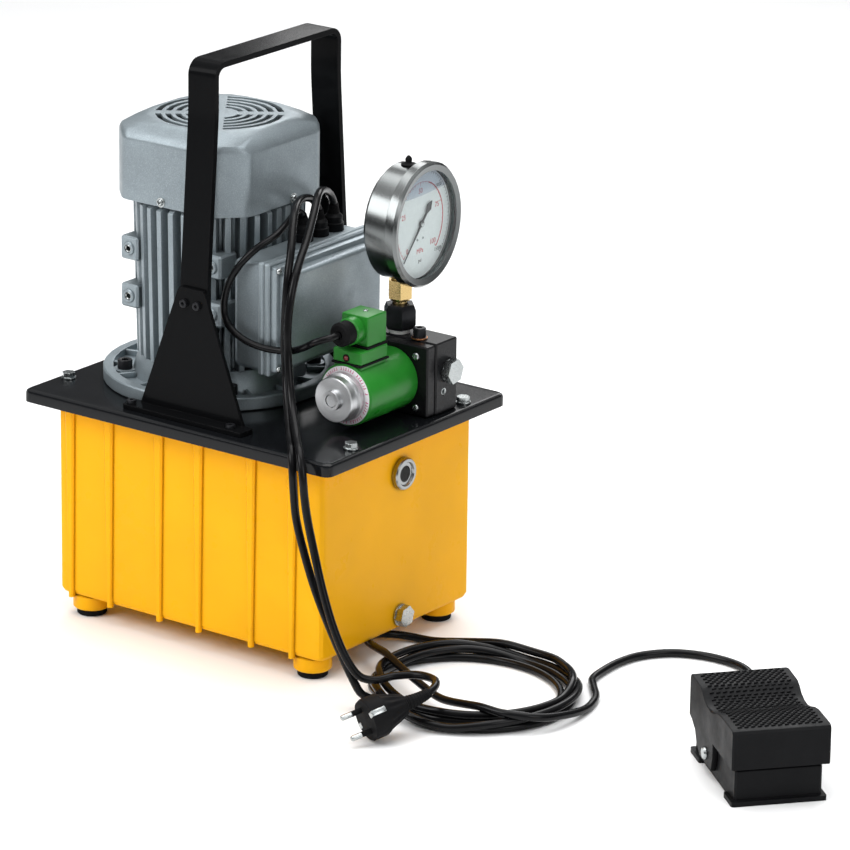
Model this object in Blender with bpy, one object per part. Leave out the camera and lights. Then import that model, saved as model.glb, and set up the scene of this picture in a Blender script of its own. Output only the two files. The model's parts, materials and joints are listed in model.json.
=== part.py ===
"""Electric hydraulic power unit: a steel oil tank with a vertical motor, a carrying handle, a solenoid
valve block with a pressure gauge, a mains lead and a foot pedal on a long lead. Metres, +Z up."""

import math

import bmesh
import bpy
from mathutils import Matrix, Vector

# ---------------------------------------------------------------- driving dimensions
UNIT_X = -0.22661  # tank centre along X, so that unit and pedal together stand centred on the origin

TANK_LENGTH = 0.290
TANK_WIDTH = 0.2125
TANK_BOTTOM = 0.0193
TANK_WALL = 0.0020
TANK_CORNER = 0.0075
FLANGE_TOP = 0.2005
FLANGE_THICK = 0.0025
PLATE_LENGTH = 0.333
PLATE_WIDTH = 0.2535
PLATE_TOP = 0.2067
PLATE_SHEET = 0.0030
PLATE_LIP = 0.0112
BOLT_X = 0.1543
BOLT_Y = 0.0795
FOOT_X = 0.1222
FOOT_Y = 0.0885
CUP_RADIUS = 0.0165
RUBBER_RADIUS = 0.0132

MOTOR_X = -0.0555
MOTOR_Y = 0.0068
MOTOR_FLANGE_RADIUS = 0.1013
FLANGE_PCD = 0.165
BODY_RADIUS = 0.0745
BODY_BOTTOM = 0.2330
COVER_BOTTOM = 0.3747
COVER_SHOULDER = 0.4295
COVER_TOP = 0.4442
COVER_HALF = 0.0718
COVER_CHAMFER = 0.0225

BOX_BACK = 0.0158
BOX_FRONT = 0.0500
LID_FRONT = 0.0715
BOX_HALF_WIDTH = 0.0713
BOX_BOTTOM = 0.2484
BOX_TOP = 0.3440

HANDLE_TOP = 0.5165
HANDLE_WIDTH = 0.0290
HANDLE_THICK = 0.0050
HANDLE_HALF_TOP = 0.0865
HANDLE_HALF_FOOT = 0.0972

COIL_X = 0.1205
COIL_Z = 0.2378
COIL_RADIUS = 0.0273
COIL_FRONT = -0.0437
COIL_BACK = 0.0232
BLOCK_X0 = 0.0830
BLOCK_X1 = 0.1580
BLOCK_Y0 = 0.0345
BLOCK_Y1 = 0.0650
BLOCK_TOP = 0.2708

GAUGE_STEM = (0.1120, 0.0440)
GAUGE_Z = 0.3704
GAUGE_TURN = math.radians(4.5)
GAUGE_RADIUS = 0.0500
BEZEL_RADIUS = 0.0542

PEDAL_AT = (0.5922, -0.0853)
PEDAL_TURN = math.radians(49.35)
PEDAL_HALF = 0.0400
PEDAL_PIVOT = (0.0740, 0.0180)

MAINS_DIAMETER = 0.0070
LEAD_DIAMETER = 0.0062
GAP = 0.0003

# ---------------------------------------------------------------- scene and helpers
for old in list(bpy.data.objects):
    bpy.data.objects.remove(old, do_unlink=True)

PARTS = bpy.data.collections.new("hydraulic_power_unit")
CUTTERS = bpy.data.collections.new("cutters")
bpy.context.scene.collection.children.link(PARTS)
bpy.context.scene.collection.children.link(CUTTERS)
CUTTERS.hide_render = True


def empty(name, at, turn=0.0, parent=None):
    obj = bpy.data.objects.new(name, None)
    obj.location = at
    obj.rotation_euler = (0.0, 0.0, turn)
    obj.empty_display_size = 0.02
    obj.parent = parent
    PARTS.objects.link(obj)
    return obj


UNIT = empty("unit_frame", (UNIT_X, 0.0, 0.0))
PEDAL = empty("pedal_frame", (PEDAL_AT[0], PEDAL_AT[1], 0.0), PEDAL_TURN, UNIT)
GAUGE = empty("gauge_frame", (GAUGE_STEM[0], GAUGE_STEM[1], GAUGE_Z), GAUGE_TURN, UNIT)


def material(name, colour, roughness, metallic=0.0, transmission=0.0):
    mat = bpy.data.materials.new(name)
    mat.use_nodes = True
    shader = mat.node_tree.nodes["Principled BSDF"]
    shader.inputs["Base Color"].default_value = (*colour, 1.0)
    shader.inputs["Roughness"].default_value = roughness
    shader.inputs["Metallic"].default_value = metallic
    shader.inputs["Transmission Weight"].default_value = transmission
    mat.diffuse_color = (*colour, 1.0)
    return mat


def node(name, mesh, mat, at=(0.0, 0.0, 0.0), parent=None, group=None):
    """An object of this mesh, placed in its frame and added to the parts or the cutters."""
    obj = bpy.data.objects.new(name, mesh)
    obj.location = at
    obj.parent = parent if parent is not None else UNIT
    (group or PARTS).objects.link(obj)
    if mat is not None:
        mesh.materials.append(mat)
    if group is CUTTERS:
        obj.hide_render = True
        obj.display_type = "WIRE"
    return obj


SMOOTH_BELOW = math.radians(35)
AXES = {
    "Z": Matrix.Identity(4),
    "Y": Matrix(((1, 0, 0, 0), (0, 0, 1, 0), (0, 1, 0, 0), (0, 0, 0, 1))),
    "X": Matrix(((0, 0, 1, 0), (1, 0, 0, 0), (0, 1, 0, 0), (0, 0, 0, 1))),
}


def finish(bm, name):
    """The mesh, facing out, smooth where it curves and sharp at its edges."""
    bmesh.ops.recalc_face_normals(bm, faces=bm.faces)
    mesh = bpy.data.meshes.new(name)
    bm.to_mesh(mesh)
    bm.free()
    mesh.shade_smooth()
    mesh.set_sharp_from_angle(angle=SMOOTH_BELOW)
    return mesh


def box_mesh(name, x0, x1, y0, y1, z0, z1, bevel=0.0, segments=2):
    bm = bmesh.new()
    bmesh.ops.create_cube(bm, size=1.0)
    bmesh.ops.scale(bm, vec=(x1 - x0, y1 - y0, z1 - z0), verts=bm.verts)
    bmesh.ops.translate(bm, vec=((x0 + x1) / 2, (y0 + y1) / 2, (z0 + z1) / 2), verts=bm.verts)
    if bevel > 0:
        bmesh.ops.bevel(bm, geom=list(bm.edges), offset=bevel, segments=segments, profile=0.5,
                        affect="EDGES", clamp_overlap=True)
    return finish(bm, name)


def loft_mesh(name, rings):
    """A closed skin through rings of the same point count, capped at both ends."""
    bm = bmesh.new()
    rows = [[bm.verts.new(p) for p in ring] for ring in rings]
    count = len(rows[0])
    for low, high in zip(rows, rows[1:]):
        for i in range(count):
            j = (i + 1) % count
            bm.faces.new((low[i], low[j], high[j], high[i]))
    bm.faces.new(list(reversed(rows[0])))
    bm.faces.new(rows[-1])
    return finish(bm, name)


def prism_mesh(name, outline, low, high, axis="Z"):
    """A flat outline extruded along one axis."""
    bm = bmesh.new()
    face = bm.faces.new([bm.verts.new((u, v, low)) for u, v in outline])
    extruded = bmesh.ops.extrude_face_region(bm, geom=[face])["geom"]
    top = [item for item in extruded if isinstance(item, bmesh.types.BMVert)]
    bmesh.ops.translate(bm, vec=(0.0, 0.0, high - low), verts=top)
    bmesh.ops.transform(bm, matrix=AXES[axis], verts=bm.verts)
    return finish(bm, name)


def cylinder_mesh(name, radius, low, high, steps=32, axis="Z", centre=(0.0, 0.0), start=0.0):
    bm = bmesh.new()
    bmesh.ops.create_cone(bm, cap_ends=True, segments=steps, radius1=radius, radius2=radius, depth=high - low)
    turn = Matrix.Rotation(start - math.pi / 2, 3, "Z")
    bmesh.ops.rotate(bm, cent=(0.0, 0.0, 0.0), matrix=turn, verts=bm.verts)
    bmesh.ops.translate(bm, vec=(centre[0], centre[1], (low + high) / 2), verts=bm.verts)
    bmesh.ops.transform(bm, matrix=AXES[axis], verts=bm.verts)
    return finish(bm, name)


def turned_mesh(name, profile, steps=32, axis="Z", closed=False):
    """A profile of (radius, height) points spun about an axis. A closed profile makes a ring."""
    bm = bmesh.new()
    verts = [bm.verts.new((r, 0.0, h)) for r, h in profile]
    edges = [bm.edges.new(pair) for pair in zip(verts, verts[1:])]
    if closed:
        edges.append(bm.edges.new((verts[-1], verts[0])))
    bmesh.ops.spin(bm, geom=verts + edges, cent=(0.0, 0.0, 0.0), axis=(0.0, 0.0, 1.0), angle=2 * math.pi,
                   steps=steps, use_merge=True)
    bmesh.ops.remove_doubles(bm, verts=bm.verts, dist=1e-7)
    bmesh.ops.holes_fill(bm, edges=bm.edges)
    bmesh.ops.transform(bm, matrix=AXES[axis], verts=bm.verts)
    return finish(bm, name)


def boolean(target, operation, mesh, at=(0.0, 0.0, 0.0)):
    """Adds or removes a hidden helper shape, placed in the part's own frame."""
    helper = node(f"helper_{len(CUTTERS.objects)}", mesh, None, at, target, CUTTERS)
    modifier = target.modifiers.new(operation.lower(), "BOOLEAN")
    modifier.operation = operation
    modifier.solver = "EXACT"
    modifier.object = helper
    return helper


def cut(target, mesh, at=(0.0, 0.0, 0.0)):
    return boolean(target, "DIFFERENCE", mesh, at)


def fuse(target, mesh, at=(0.0, 0.0, 0.0)):
    return boolean(target, "UNION", mesh, at)


def joined(*meshes):
    """One mesh from shells that stay apart, used as one helper."""
    bm = bmesh.new()
    for mesh in meshes:
        bm.from_mesh(mesh)
    return finish(bm, "joined")


def moved(mesh, x, y, z, turn=0.0):
    mesh.transform(Matrix.Translation((x, y, z)) @ Matrix.Rotation(turn, 4, "Z"))
    return mesh


def rounded(points, radius, steps=4):
    """A flat outline with every corner rounded by the same radius."""
    out = []
    count = len(points)
    for i in range(count):
        p = Vector(points[i])
        a = (Vector(points[i - 1]) - p)
        b = (Vector(points[(i + 1) % count]) - p)
        reach = min(radius, a.length * 0.45, b.length * 0.45)
        start = p + a.normalized() * reach
        end = p + b.normalized() * reach
        for k in range(steps + 1):
            t = k / steps
            out.append(tuple((1 - t) ** 2 * start + 2 * t * (1 - t) * p + t * t * end))
    return out


def rectangle(x0, x1, y0, y1):
    return [(x0, y0), (x1, y0), (x1, y1), (x0, y1)]


def smooth_path(points, spacing):
    """Evenly spaced points on a Catmull-Rom curve through the given points."""
    pts = [Vector(p) for p in points]
    pts = [pts[0] * 2 - pts[1]] + pts + [pts[-1] * 2 - pts[-2]]
    dense = []
    for i in range(1, len(pts) - 2):
        a, b, c, d = pts[i - 1], pts[i], pts[i + 1], pts[i + 2]
        for k in range(24):
            t = k / 24
            dense.append(0.5 * (2 * b + (c - a) * t + (2 * a - 5 * b + 4 * c - d) * t * t
                                + (3 * b - a - 3 * c + d) * t ** 3))
    dense.append(pts[-2])
    total = sum((q - p).length for p, q in zip(dense, dense[1:]))
    count = max(4, round(total / spacing))
    step = total / count
    out = [dense[0]]
    walked = 0.0
    for p, q in zip(dense, dense[1:]):
        span = (q - p).length
        while walked + span >= step * len(out) - 1e-9 and len(out) < count:
            out.append(p + (q - p) * ((step * len(out) - walked) / span))
        walked += span
    out.append(dense[-1])
    return out


def tube(name, points, diameter, mat, spacing):
    """A lead as a bevelled curve with filled caps."""
    curve = bpy.data.curves.new(name, "CURVE")
    curve.dimensions = "3D"
    curve.bevel_depth = diameter / 2
    curve.bevel_resolution = 2
    curve.use_fill_caps = True
    path = smooth_path(points, spacing)
    spline = curve.splines.new("POLY")
    spline.points.add(len(path) - 1)
    for point, place in zip(spline.points, path):
        point.co = (*place, 1.0)
    node(name, curve, mat)
    return path


# ---------------------------------------------------------------- materials
YELLOW = material("yellow_paint", (0.86, 0.56, 0.02), 0.35)
BLACK_GLOSS = material("black_gloss_paint", (0.012, 0.012, 0.014), 0.22)
BLACK_STEEL = material("black_oxide_steel", (0.03, 0.03, 0.032), 0.45, 0.6)
RUBBER = material("black_rubber", (0.02, 0.02, 0.02), 0.75)
ZINC = material("zinc_plate", (0.62, 0.64, 0.64), 0.32, 1.0)
CAST = material("silver_painted_casting", (0.50, 0.53, 0.54), 0.42, 0.55)
COPPER = material("copper_winding", (0.62, 0.28, 0.13), 0.4, 1.0)
IRON = material("machined_iron", (0.36, 0.36, 0.37), 0.35, 1.0)
GREEN = material("green_plastic", (0.05, 0.30, 0.06), 0.38)
ALLOY = material("turned_aluminium", (0.62, 0.64, 0.65), 0.35, 1.0)
STAINLESS = material("brushed_stainless", (0.60, 0.60, 0.58), 0.28, 1.0)
BRASS = material("brass", (0.70, 0.55, 0.24), 0.28, 1.0)
WHITE = material("white_enamel", (0.80, 0.82, 0.82), 0.45)
GLASS = material("clear_glass", (0.9, 0.93, 0.93), 0.05, 0.0, 0.9)
BLOCK_BLACK = material("black_anodised_block", (0.018, 0.018, 0.02), 0.35, 0.3)
CABLE = material("black_cable_jacket", (0.015, 0.015, 0.016), 0.42)
PLASTIC = material("black_plastic", (0.022, 0.024, 0.026), 0.5)
RED = material("red_indicator", (0.5, 0.02, 0.02), 0.3)

# ---------------------------------------------------------------- oil tank
half_l = TANK_LENGTH / 2
half_w = TANK_WIDTH / 2


def tank_section(inset, shrink=0.0):
    reach = TANK_CORNER - inset
    return rounded(rectangle(-half_l + inset + shrink, half_l - inset - shrink,
                             -half_w + inset + shrink, half_w - inset - shrink), max(reach, 0.003), 3)


def at_height(outline, z):
    return [(x, y, z) for x, y in outline]


shell = loft_mesh("tank_shell", [
    at_height(tank_section(0.0, 0.0050), TANK_BOTTOM),
    at_height(tank_section(0.0, 0.0018), TANK_BOTTOM + 0.0013),
    at_height(tank_section(0.0, 0.0), TANK_BOTTOM + 0.0052),
    at_height(tank_section(0.0, 0.0), FLANGE_TOP - FLANGE_THICK / 2),
])
tank = node("reservoir_tank", shell, YELLOW)
fuse(tank, prism_mesh("tank_rim", rounded(rectangle(-0.1620, 0.1620, -0.1222, 0.1222), 0.005, 3),
                      FLANGE_TOP - FLANGE_THICK, FLANGE_TOP))

RIB_X = (-0.1295, -0.0862, -0.0310, 0.0125, 0.0697, 0.1137)
RIB_TOP = 0.0052
RIB_FOOT = 0.0024
RIB_PROUD = 0.0032


def rib_mesh(x, side):
    z_low = TANK_BOTTOM - 0.0012
    z_high = FLANGE_TOP - 0.0012
    rings = []
    for z, half in ((z_low, RIB_FOOT), (z_high, RIB_TOP)):
        face = side * half_w
        rings.append([(x - half, face - side * 0.001, z), (x - half, face + side * RIB_PROUD * 0.55, z),
                      (x - half * 0.62, face + side * RIB_PROUD, z),
                      (x + half * 0.62, face + side * RIB_PROUD, z),
                      (x + half, face + side * RIB_PROUD * 0.55, z), (x + half, face - side * 0.001, z)])
    return loft_mesh("rib", rings)


fuse(tank, joined(*[rib_mesh(x, side) for x in RIB_X for side in (-1, 1)]))
cups = [moved(turned_mesh("cup", [(0.0, 0.0062), (CUP_RADIUS - 0.0012, 0.0062), (CUP_RADIUS, 0.0074),
                                  (CUP_RADIUS, TANK_BOTTOM - 0.0010), (CUP_RADIUS - 0.003, TANK_BOTTOM + 0.0011),
                                  (0.0, TANK_BOTTOM + 0.0011)], 20), x, y, 0.0)
        for x in (-FOOT_X, FOOT_X) for y in (-FOOT_Y, FOOT_Y)]
fuse(tank, joined(*cups))
inside = loft_mesh("tank_inside", [
    at_height(tank_section(TANK_WALL, 0.0040), TANK_BOTTOM + TANK_WALL),
    at_height(tank_section(TANK_WALL, 0.0), TANK_BOTTOM + TANK_WALL + 0.004),
    at_height(tank_section(TANK_WALL, 0.0), FLANGE_TOP + 0.004),
])
cut(tank, inside)
CUP_BORE = 0.0142
cut(tank, joined(*[moved(cylinder_mesh("bore", CUP_BORE, 0.0040, 0.0130, 20), x, y, 0.0)
                   for x in (-FOOT_X, FOOT_X) for y in (-FOOT_Y, FOOT_Y)]))
cut(tank, joined(*[moved(cylinder_mesh("hole", 0.0036, FLANGE_TOP - 0.006, FLANGE_TOP + 0.003, 10), x, y, 0.0)
                   for x in (-BOLT_X, BOLT_X) for y in (-BOLT_Y, BOLT_Y)]))
SIGHT_Y = 0.0040
SIGHT_Z = 0.1612
DRAIN_Z = 0.0325
cut(tank, cylinder_mesh("sight_hole", 0.0102, half_l - 0.006, half_l + 0.006, 24, "X", (SIGHT_Y, SIGHT_Z)))
cut(tank, cylinder_mesh("drain_hole", 0.0068, half_l - 0.006, half_l + 0.006, 16, "X", (SIGHT_Y, DRAIN_Z)))

corner = 0
for fx in (-FOOT_X, FOOT_X):
    for fy in (-FOOT_Y, FOOT_Y):
        corner += 1
        pad = turned_mesh("rubber_foot", [(0.0, 0.0), (RUBBER_RADIUS - 0.001, 0.0), (RUBBER_RADIUS, 0.001),
                                          (RUBBER_RADIUS, 0.0122), (RUBBER_RADIUS - 0.001, 0.0127),
                                          (0.0, 0.0127)], 20)
        node(f"rubber_foot_{corner}", pad, RUBBER, (fx, fy, 0.0))

ring = turned_mesh("sight_glass_ring", [(0.0072, 0.0), (0.0098, 0.0), (0.0098, 0.0072), (0.0142, 0.0072),
                                        (0.0142, 0.0118), (0.0132, 0.0130), (0.0108, 0.0130),
                                        (0.0098, 0.0112), (0.0072, 0.0112)], 24, "X", True)
SIGHT_X = half_l - 0.0069
node("sight_glass_ring", ring, ALLOY, (SIGHT_X, SIGHT_Y, SIGHT_Z))
node("sight_glass", cylinder_mesh("sight_glass", 0.0069, 0.0030, 0.0108, 24, "X"), GLASS,
     (SIGHT_X, SIGHT_Y, SIGHT_Z))

drain = turned_mesh("drain_plug", [(0.0, -0.0080), (0.0064, -0.0080), (0.0064, 0.0003), (0.0098, 0.0003),
                                   (0.0098, 0.0020), (0.0092, 0.0022), (0.0, 0.0022)], 18, "X")
drain_plug = node("drain_plug", drain, ZINC, (half_l, SIGHT_Y, DRAIN_Z))
fuse(drain_plug, cylinder_mesh("drain_hex", 0.0096, 0.0012, 0.0088, 6, "X", (0.0, 0.0), math.radians(12)))

# ---------------------------------------------------------------- gasket, cover plate and its bolts
gasket = node("plate_gasket", prism_mesh("plate_gasket", rounded(rectangle(-0.1615, 0.1615, -0.1218, 0.1218),
                                                                 0.005, 3),
                                         FLANGE_TOP + GAP, PLATE_TOP - PLATE_SHEET - GAP), RUBBER)
cut(gasket, prism_mesh("gasket_window", rounded(rectangle(-0.1400, 0.1400, -0.1020, 0.1020), 0.006, 3),
                       FLANGE_TOP - 0.004, PLATE_TOP))
bolt_holes = [(x, y) for x in (-BOLT_X, BOLT_X) for y in (-BOLT_Y, BOLT_Y)]
cut(gasket, joined(*[moved(cylinder_mesh("hole", 0.0036, FLANGE_TOP - 0.003, PLATE_TOP, 10), x, y, 0.0)
                     for x, y in bolt_holes]))


def plate_section(inset):
    return rounded(rectangle(-PLATE_LENGTH / 2 + inset, PLATE_LENGTH / 2 - inset,
                             -PLATE_WIDTH / 2 + inset, PLATE_WIDTH / 2 - inset), 0.0080 - inset * 0.6, 4)


plate_mesh = loft_mesh("top_plate", [
    at_height(plate_section(0.0), PLATE_TOP - PLATE_LIP),
    at_height(plate_section(0.0), PLATE_TOP - 0.0034),
    at_height(plate_section(0.0007), PLATE_TOP - 0.0014),
    at_height(plate_section(0.0022), PLATE_TOP - 0.0003),
    at_height(plate_section(0.0036), PLATE_TOP),
])
plate = node("top_plate", plate_mesh, BLACK_GLOSS)
cut(plate, prism_mesh("plate_inside", rounded(rectangle(-0.1636, 0.1636, -0.1239, 0.1239), 0.006, 4),
                      PLATE_TOP - PLATE_LIP - 0.01, PLATE_TOP - PLATE_SHEET))
cut(plate, joined(*[moved(cylinder_mesh("hole", 0.0034, PLATE_TOP - 0.008, PLATE_TOP + 0.004, 10), x, y, 0.0)
                    for x, y in bolt_holes]))
cut(plate, cylinder_mesh("pump_hole", 0.0400, PLATE_TOP - 0.008, PLATE_TOP + 0.004, 28, "Z",
                         (MOTOR_X, MOTOR_Y)))
PIPE_AT = (0.1000, 0.0480)
cut(plate, cylinder_mesh("pipe_hole", 0.0068, PLATE_TOP - 0.008, PLATE_TOP + 0.004, 14, "Z", PIPE_AT))

number = 0
for bx, by in bolt_holes:
    number += 1
    bolt = turned_mesh("plate_bolt", [(0.0, -0.0098), (0.0029, -0.0098), (0.0029, GAP), (0.0066, GAP),
                                      (0.0066, 0.0017), (0.0, 0.0017)], 14)
    obj = node(f"plate_bolt_{number}", bolt, ZINC, (bx, by, PLATE_TOP))
    fuse(obj, cylinder_mesh("bolt_hex", 0.0058, 0.0010, 0.0058, 6, "Z", (0.0, 0.0), 0.4 * number))

# ---------------------------------------------------------------- motor: flange, frame and cover
motor_at = (MOTOR_X, MOTOR_Y, 0.0)
BOLT_RING = [(FLANGE_PCD / 2 * math.cos(math.radians(45 + 90 * i)),
              FLANGE_PCD / 2 * math.sin(math.radians(45 + 90 * i))) for i in range(4)]
flange = node("motor_flange", turned_mesh("motor_flange", [
    (0.0300, PLATE_TOP + GAP), (MOTOR_FLANGE_RADIUS - 0.001, PLATE_TOP + GAP),
    (MOTOR_FLANGE_RADIUS, PLATE_TOP + 0.0014), (MOTOR_FLANGE_RADIUS, PLATE_TOP + 0.0112),
    (MOTOR_FLANGE_RADIUS - 0.001, PLATE_TOP + 0.0123), (0.0925, PLATE_TOP + 0.0123),
    (0.0920, PLATE_TOP + 0.0065), (0.0760, PLATE_TOP + 0.0065), (0.0700, BODY_BOTTOM - GAP),
    (0.0300, BODY_BOTTOM - GAP)], 40, "Z", True), CAST, motor_at)
seat = [moved(cylinder_mesh("seat", 0.0100, PLATE_TOP + 0.0040, PLATE_TOP + 0.0105, 16), x, y, 0.0)
        for x, y in BOLT_RING]
fuse(flange, joined(*seat))
SEAT_TOP = PLATE_TOP + 0.0105
cut(flange, joined(*[moved(cylinder_mesh("pocket", 0.0078, SEAT_TOP, PLATE_TOP + 0.0300, 14), x, y, 0.0)
                     for x, y in BOLT_RING]))
cut(flange, joined(*[moved(cylinder_mesh("hole", 0.0046, PLATE_TOP - 0.003, PLATE_TOP + 0.0300, 10), x, y, 0.0)
                     for x, y in BOLT_RING]))
FIN_COUNT = 36
outline = []
for i in range(FIN_COUNT):
    step = 2 * math.pi / FIN_COUNT
    base = i * step
    for share, radius in ((0.02, 0.0650), (0.24, BODY_RADIUS), (0.62, BODY_RADIUS), (0.84, 0.0650)):
        angle = base + share * step
        outline.append((radius * math.cos(angle), radius * math.sin(angle)))
frame = node("motor_frame", loft_mesh("motor_frame", [
    [(x * 0.96, y * 0.96, BODY_BOTTOM) for x, y in outline],
    [(x, y, COVER_BOTTOM - 0.0035) for x, y in outline],
    [(x * 0.80, y * 0.80, COVER_BOTTOM + 0.0045) for x, y in outline]]), CAST, motor_at)
cut(frame, cylinder_mesh("frame_bore", 0.0560, BODY_BOTTOM + 0.0060, COVER_BOTTOM - 0.0020, 32))
cut(frame, cylinder_mesh("shaft_bore", 0.0130, BODY_BOTTOM - 0.02, COVER_BOTTOM + 0.02, 20))
fuse(frame, box_mesh("box_seat", 0.0600, BOX_BACK - MOTOR_X - GAP, -0.0330, 0.0330, BOX_BOTTOM + 0.010,
                     BOX_TOP - 0.010))
cut(frame, box_mesh("box_clear", BOX_BACK - MOTOR_X - GAP, 0.0900, -0.0800, 0.0800, BODY_BOTTOM - 0.02,
                    COVER_BOTTOM + 0.02))
PAD_X = 0.0455
PAD_Z = (0.2874, 0.3300)
pads = []
for sx in (-1, 1):
    for sy in (-1, 1):
        for z in PAD_Z:
            y0, y1 = sorted((sy * 0.0440, sy * 0.0680))
            pads.append(box_mesh("pad", sx * PAD_X - 0.0095, sx * PAD_X + 0.0095, y0, y1,
                                 z - 0.0105, z + 0.0105, 0.0018, 1))
fuse(frame, joined(*pads))
cut(frame, joined(*[cylinder_mesh("pad_hole", 0.0033, sy * 0.0600, sy * 0.0720, 10, "Y", (sx * PAD_X, z))
                    for sx in (-1, 1) for sy in (-1, 1) for z in PAD_Z]))


def cover_section(half, chamfer, z, soft=0.0):
    k = chamfer
    pts = [(half - k, -half), (half, -half + k), (half, half - k), (half - k, half),
           (-half + k, half), (-half, half - k), (-half, -half + k), (-half + k, -half)]
    return [(x, y, z) for x, y in rounded(pts, 0.0060 + soft, 2)]


cover = node("fan_cover", loft_mesh("fan_cover", [
    cover_section(COVER_HALF, COVER_CHAMFER, COVER_BOTTOM),
    cover_section(COVER_HALF, COVER_CHAMFER, COVER_SHOULDER - 0.0012),
    cover_section(COVER_HALF - 0.0008, COVER_CHAMFER - 0.0016, COVER_SHOULDER + 0.0012),
    cover_section(COVER_HALF - 0.0026, COVER_CHAMFER - 0.0050, COVER_SHOULDER + 0.0042),
    cover_section(COVER_HALF - 0.0048, COVER_CHAMFER - 0.0070, COVER_SHOULDER + 0.0072),
    cover_section(COVER_HALF - 0.0088, COVER_CHAMFER - 0.0010, COVER_TOP - 0.0034, 0.004),
    cover_section(COVER_HALF - 0.0125, 0.0262, COVER_TOP - 0.0006, 0.010),
    cover_section(COVER_HALF - 0.0150, 0.0280, COVER_TOP, 0.012)]), CAST, motor_at)
wall = 0.0022
cut(cover, loft_mesh("cover_inside", [
    cover_section(COVER_HALF - wall, COVER_CHAMFER - 0.0010, COVER_BOTTOM - 0.0100),
    cover_section(COVER_HALF - wall, COVER_CHAMFER - 0.0010, COVER_SHOULDER),
    cover_section(COVER_HALF - 0.0125, 0.0260, COVER_TOP - 0.0052, 0.006),
    cover_section(COVER_HALF - 0.0165, 0.0280, COVER_TOP - wall, 0.010)]))
SPOKE_TURN = math.radians(36.3)
SLOT_HALF = 0.0026
slots = []
for radius in (0.0530, 0.0445, 0.0360, 0.0275, 0.0190):
    half = math.asin(min(0.95, 0.0048 / radius))
    for quarter in range(4):
        start = SPOKE_TURN + quarter * math.pi / 2 + half
        stop = SPOKE_TURN + (quarter + 1) * math.pi / 2 - half
        steps = 5 if radius > 0.03 else 3
        outer = [(radius + SLOT_HALF, start + (stop - start) * k / steps) for k in range(steps + 1)]
        inner = [(radius - SLOT_HALF, start + (stop - start) * k / steps) for k in range(steps, -1, -1)]
        arc = [(r * math.cos(a), r * math.sin(a)) for r, a in outer + inner]
        slots.append(prism_mesh("slot", arc, COVER_TOP - 0.0100, COVER_TOP + 0.0100))
cut(cover, joined(*slots))

# ---------------------------------------------------------------- motor: rotating and inner parts
shaft = node("rotor_shaft", turned_mesh("rotor_shaft", [
    (0.0, 0.1420), (0.0100, 0.1420), (0.0100, 0.1880), (0.0070, 0.1900), (0.0070, 0.2380),
    (0.0085, 0.2390), (0.0085, 0.2600), (0.0320, 0.2600), (0.0320, 0.3400),
    (0.0085, 0.3400), (0.0085, 0.3690), (0.0070, 0.3700), (0.0070, 0.4150),
    (0.0, 0.4150)], 20), IRON, motor_at)
fuse(shaft, cylinder_mesh("pump_cam", 0.0150, 0.1470, 0.1680, 20, "Z", (0.0028, 0.0)))
node("stator_winding", turned_mesh("stator_winding", [
    (0.0330, 0.2620), (0.0340, 0.2480), (0.0500, 0.2470), (0.0520, 0.2610), (0.0556, 0.2620),
    (0.0556, 0.3380), (0.0520, 0.3390), (0.0500, 0.3520), (0.0340, 0.3510), (0.0330, 0.3380)], 28, "Z", True),
    COPPER, motor_at)
fan = node("cooling_fan", turned_mesh("cooling_fan", [
    (0.0073, 0.3860), (0.0500, 0.3860), (0.0500, 0.3885), (0.0150, 0.3905), (0.0150, 0.4120),
    (0.0073, 0.4120)], 24, "Z", True), PLASTIC, motor_at)
blades = [moved(box_mesh("blade", 0.0140, 0.0560, -0.0010, 0.0010, 0.3875, 0.4100), 0.0, 0.0, 0.0,
                math.radians(51.43 * i)) for i in range(7)]
fuse(fan, joined(*blades))

# ---------------------------------------------------------------- pump in the tank
PUMP_TOP = PLATE_TOP - PLATE_SHEET - GAP
pump = node("pump_body", turned_mesh("pump_body", [
    (0.0, 0.1250), (0.0300, 0.1250), (0.0300, 0.1300), (0.0460, 0.1310), (0.0460, 0.1720), (0.0340, 0.1740),
    (0.0340, 0.1880), (0.0560, 0.1890), (0.0560, PUMP_TOP), (0.0, PUMP_TOP)], 28), IRON, motor_at)
cut(pump, cylinder_mesh("pump_bore", 0.0200, 0.1400, 0.2200, 20))
node("suction_strainer", turned_mesh("suction_strainer", [
    (0.0, 0.0550), (0.0250, 0.0550), (0.0260, 0.0570), (0.0260, 0.1080), (0.0250, 0.1100), (0.0110, 0.1110),
    (0.0110, 0.1247), (0.0, 0.1247)], 24), BRASS, motor_at)
PIPE = [(MOTOR_X + 0.0466, MOTOR_Y, 0.1520), (-0.0020, MOTOR_Y, 0.1520), (0.0150, 0.0120, 0.1520),
        (0.0450, 0.0250, 0.1530), (0.0750, 0.0400, 0.1560), (0.0930, 0.0470, 0.1660), (0.1000, 0.0480, 0.1800),
        (0.1000, 0.0480, 0.1950), (0.1000, 0.0480, 0.2066)]
tube("pressure_pipe", PIPE, 0.0080, IRON, 0.008)

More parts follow.
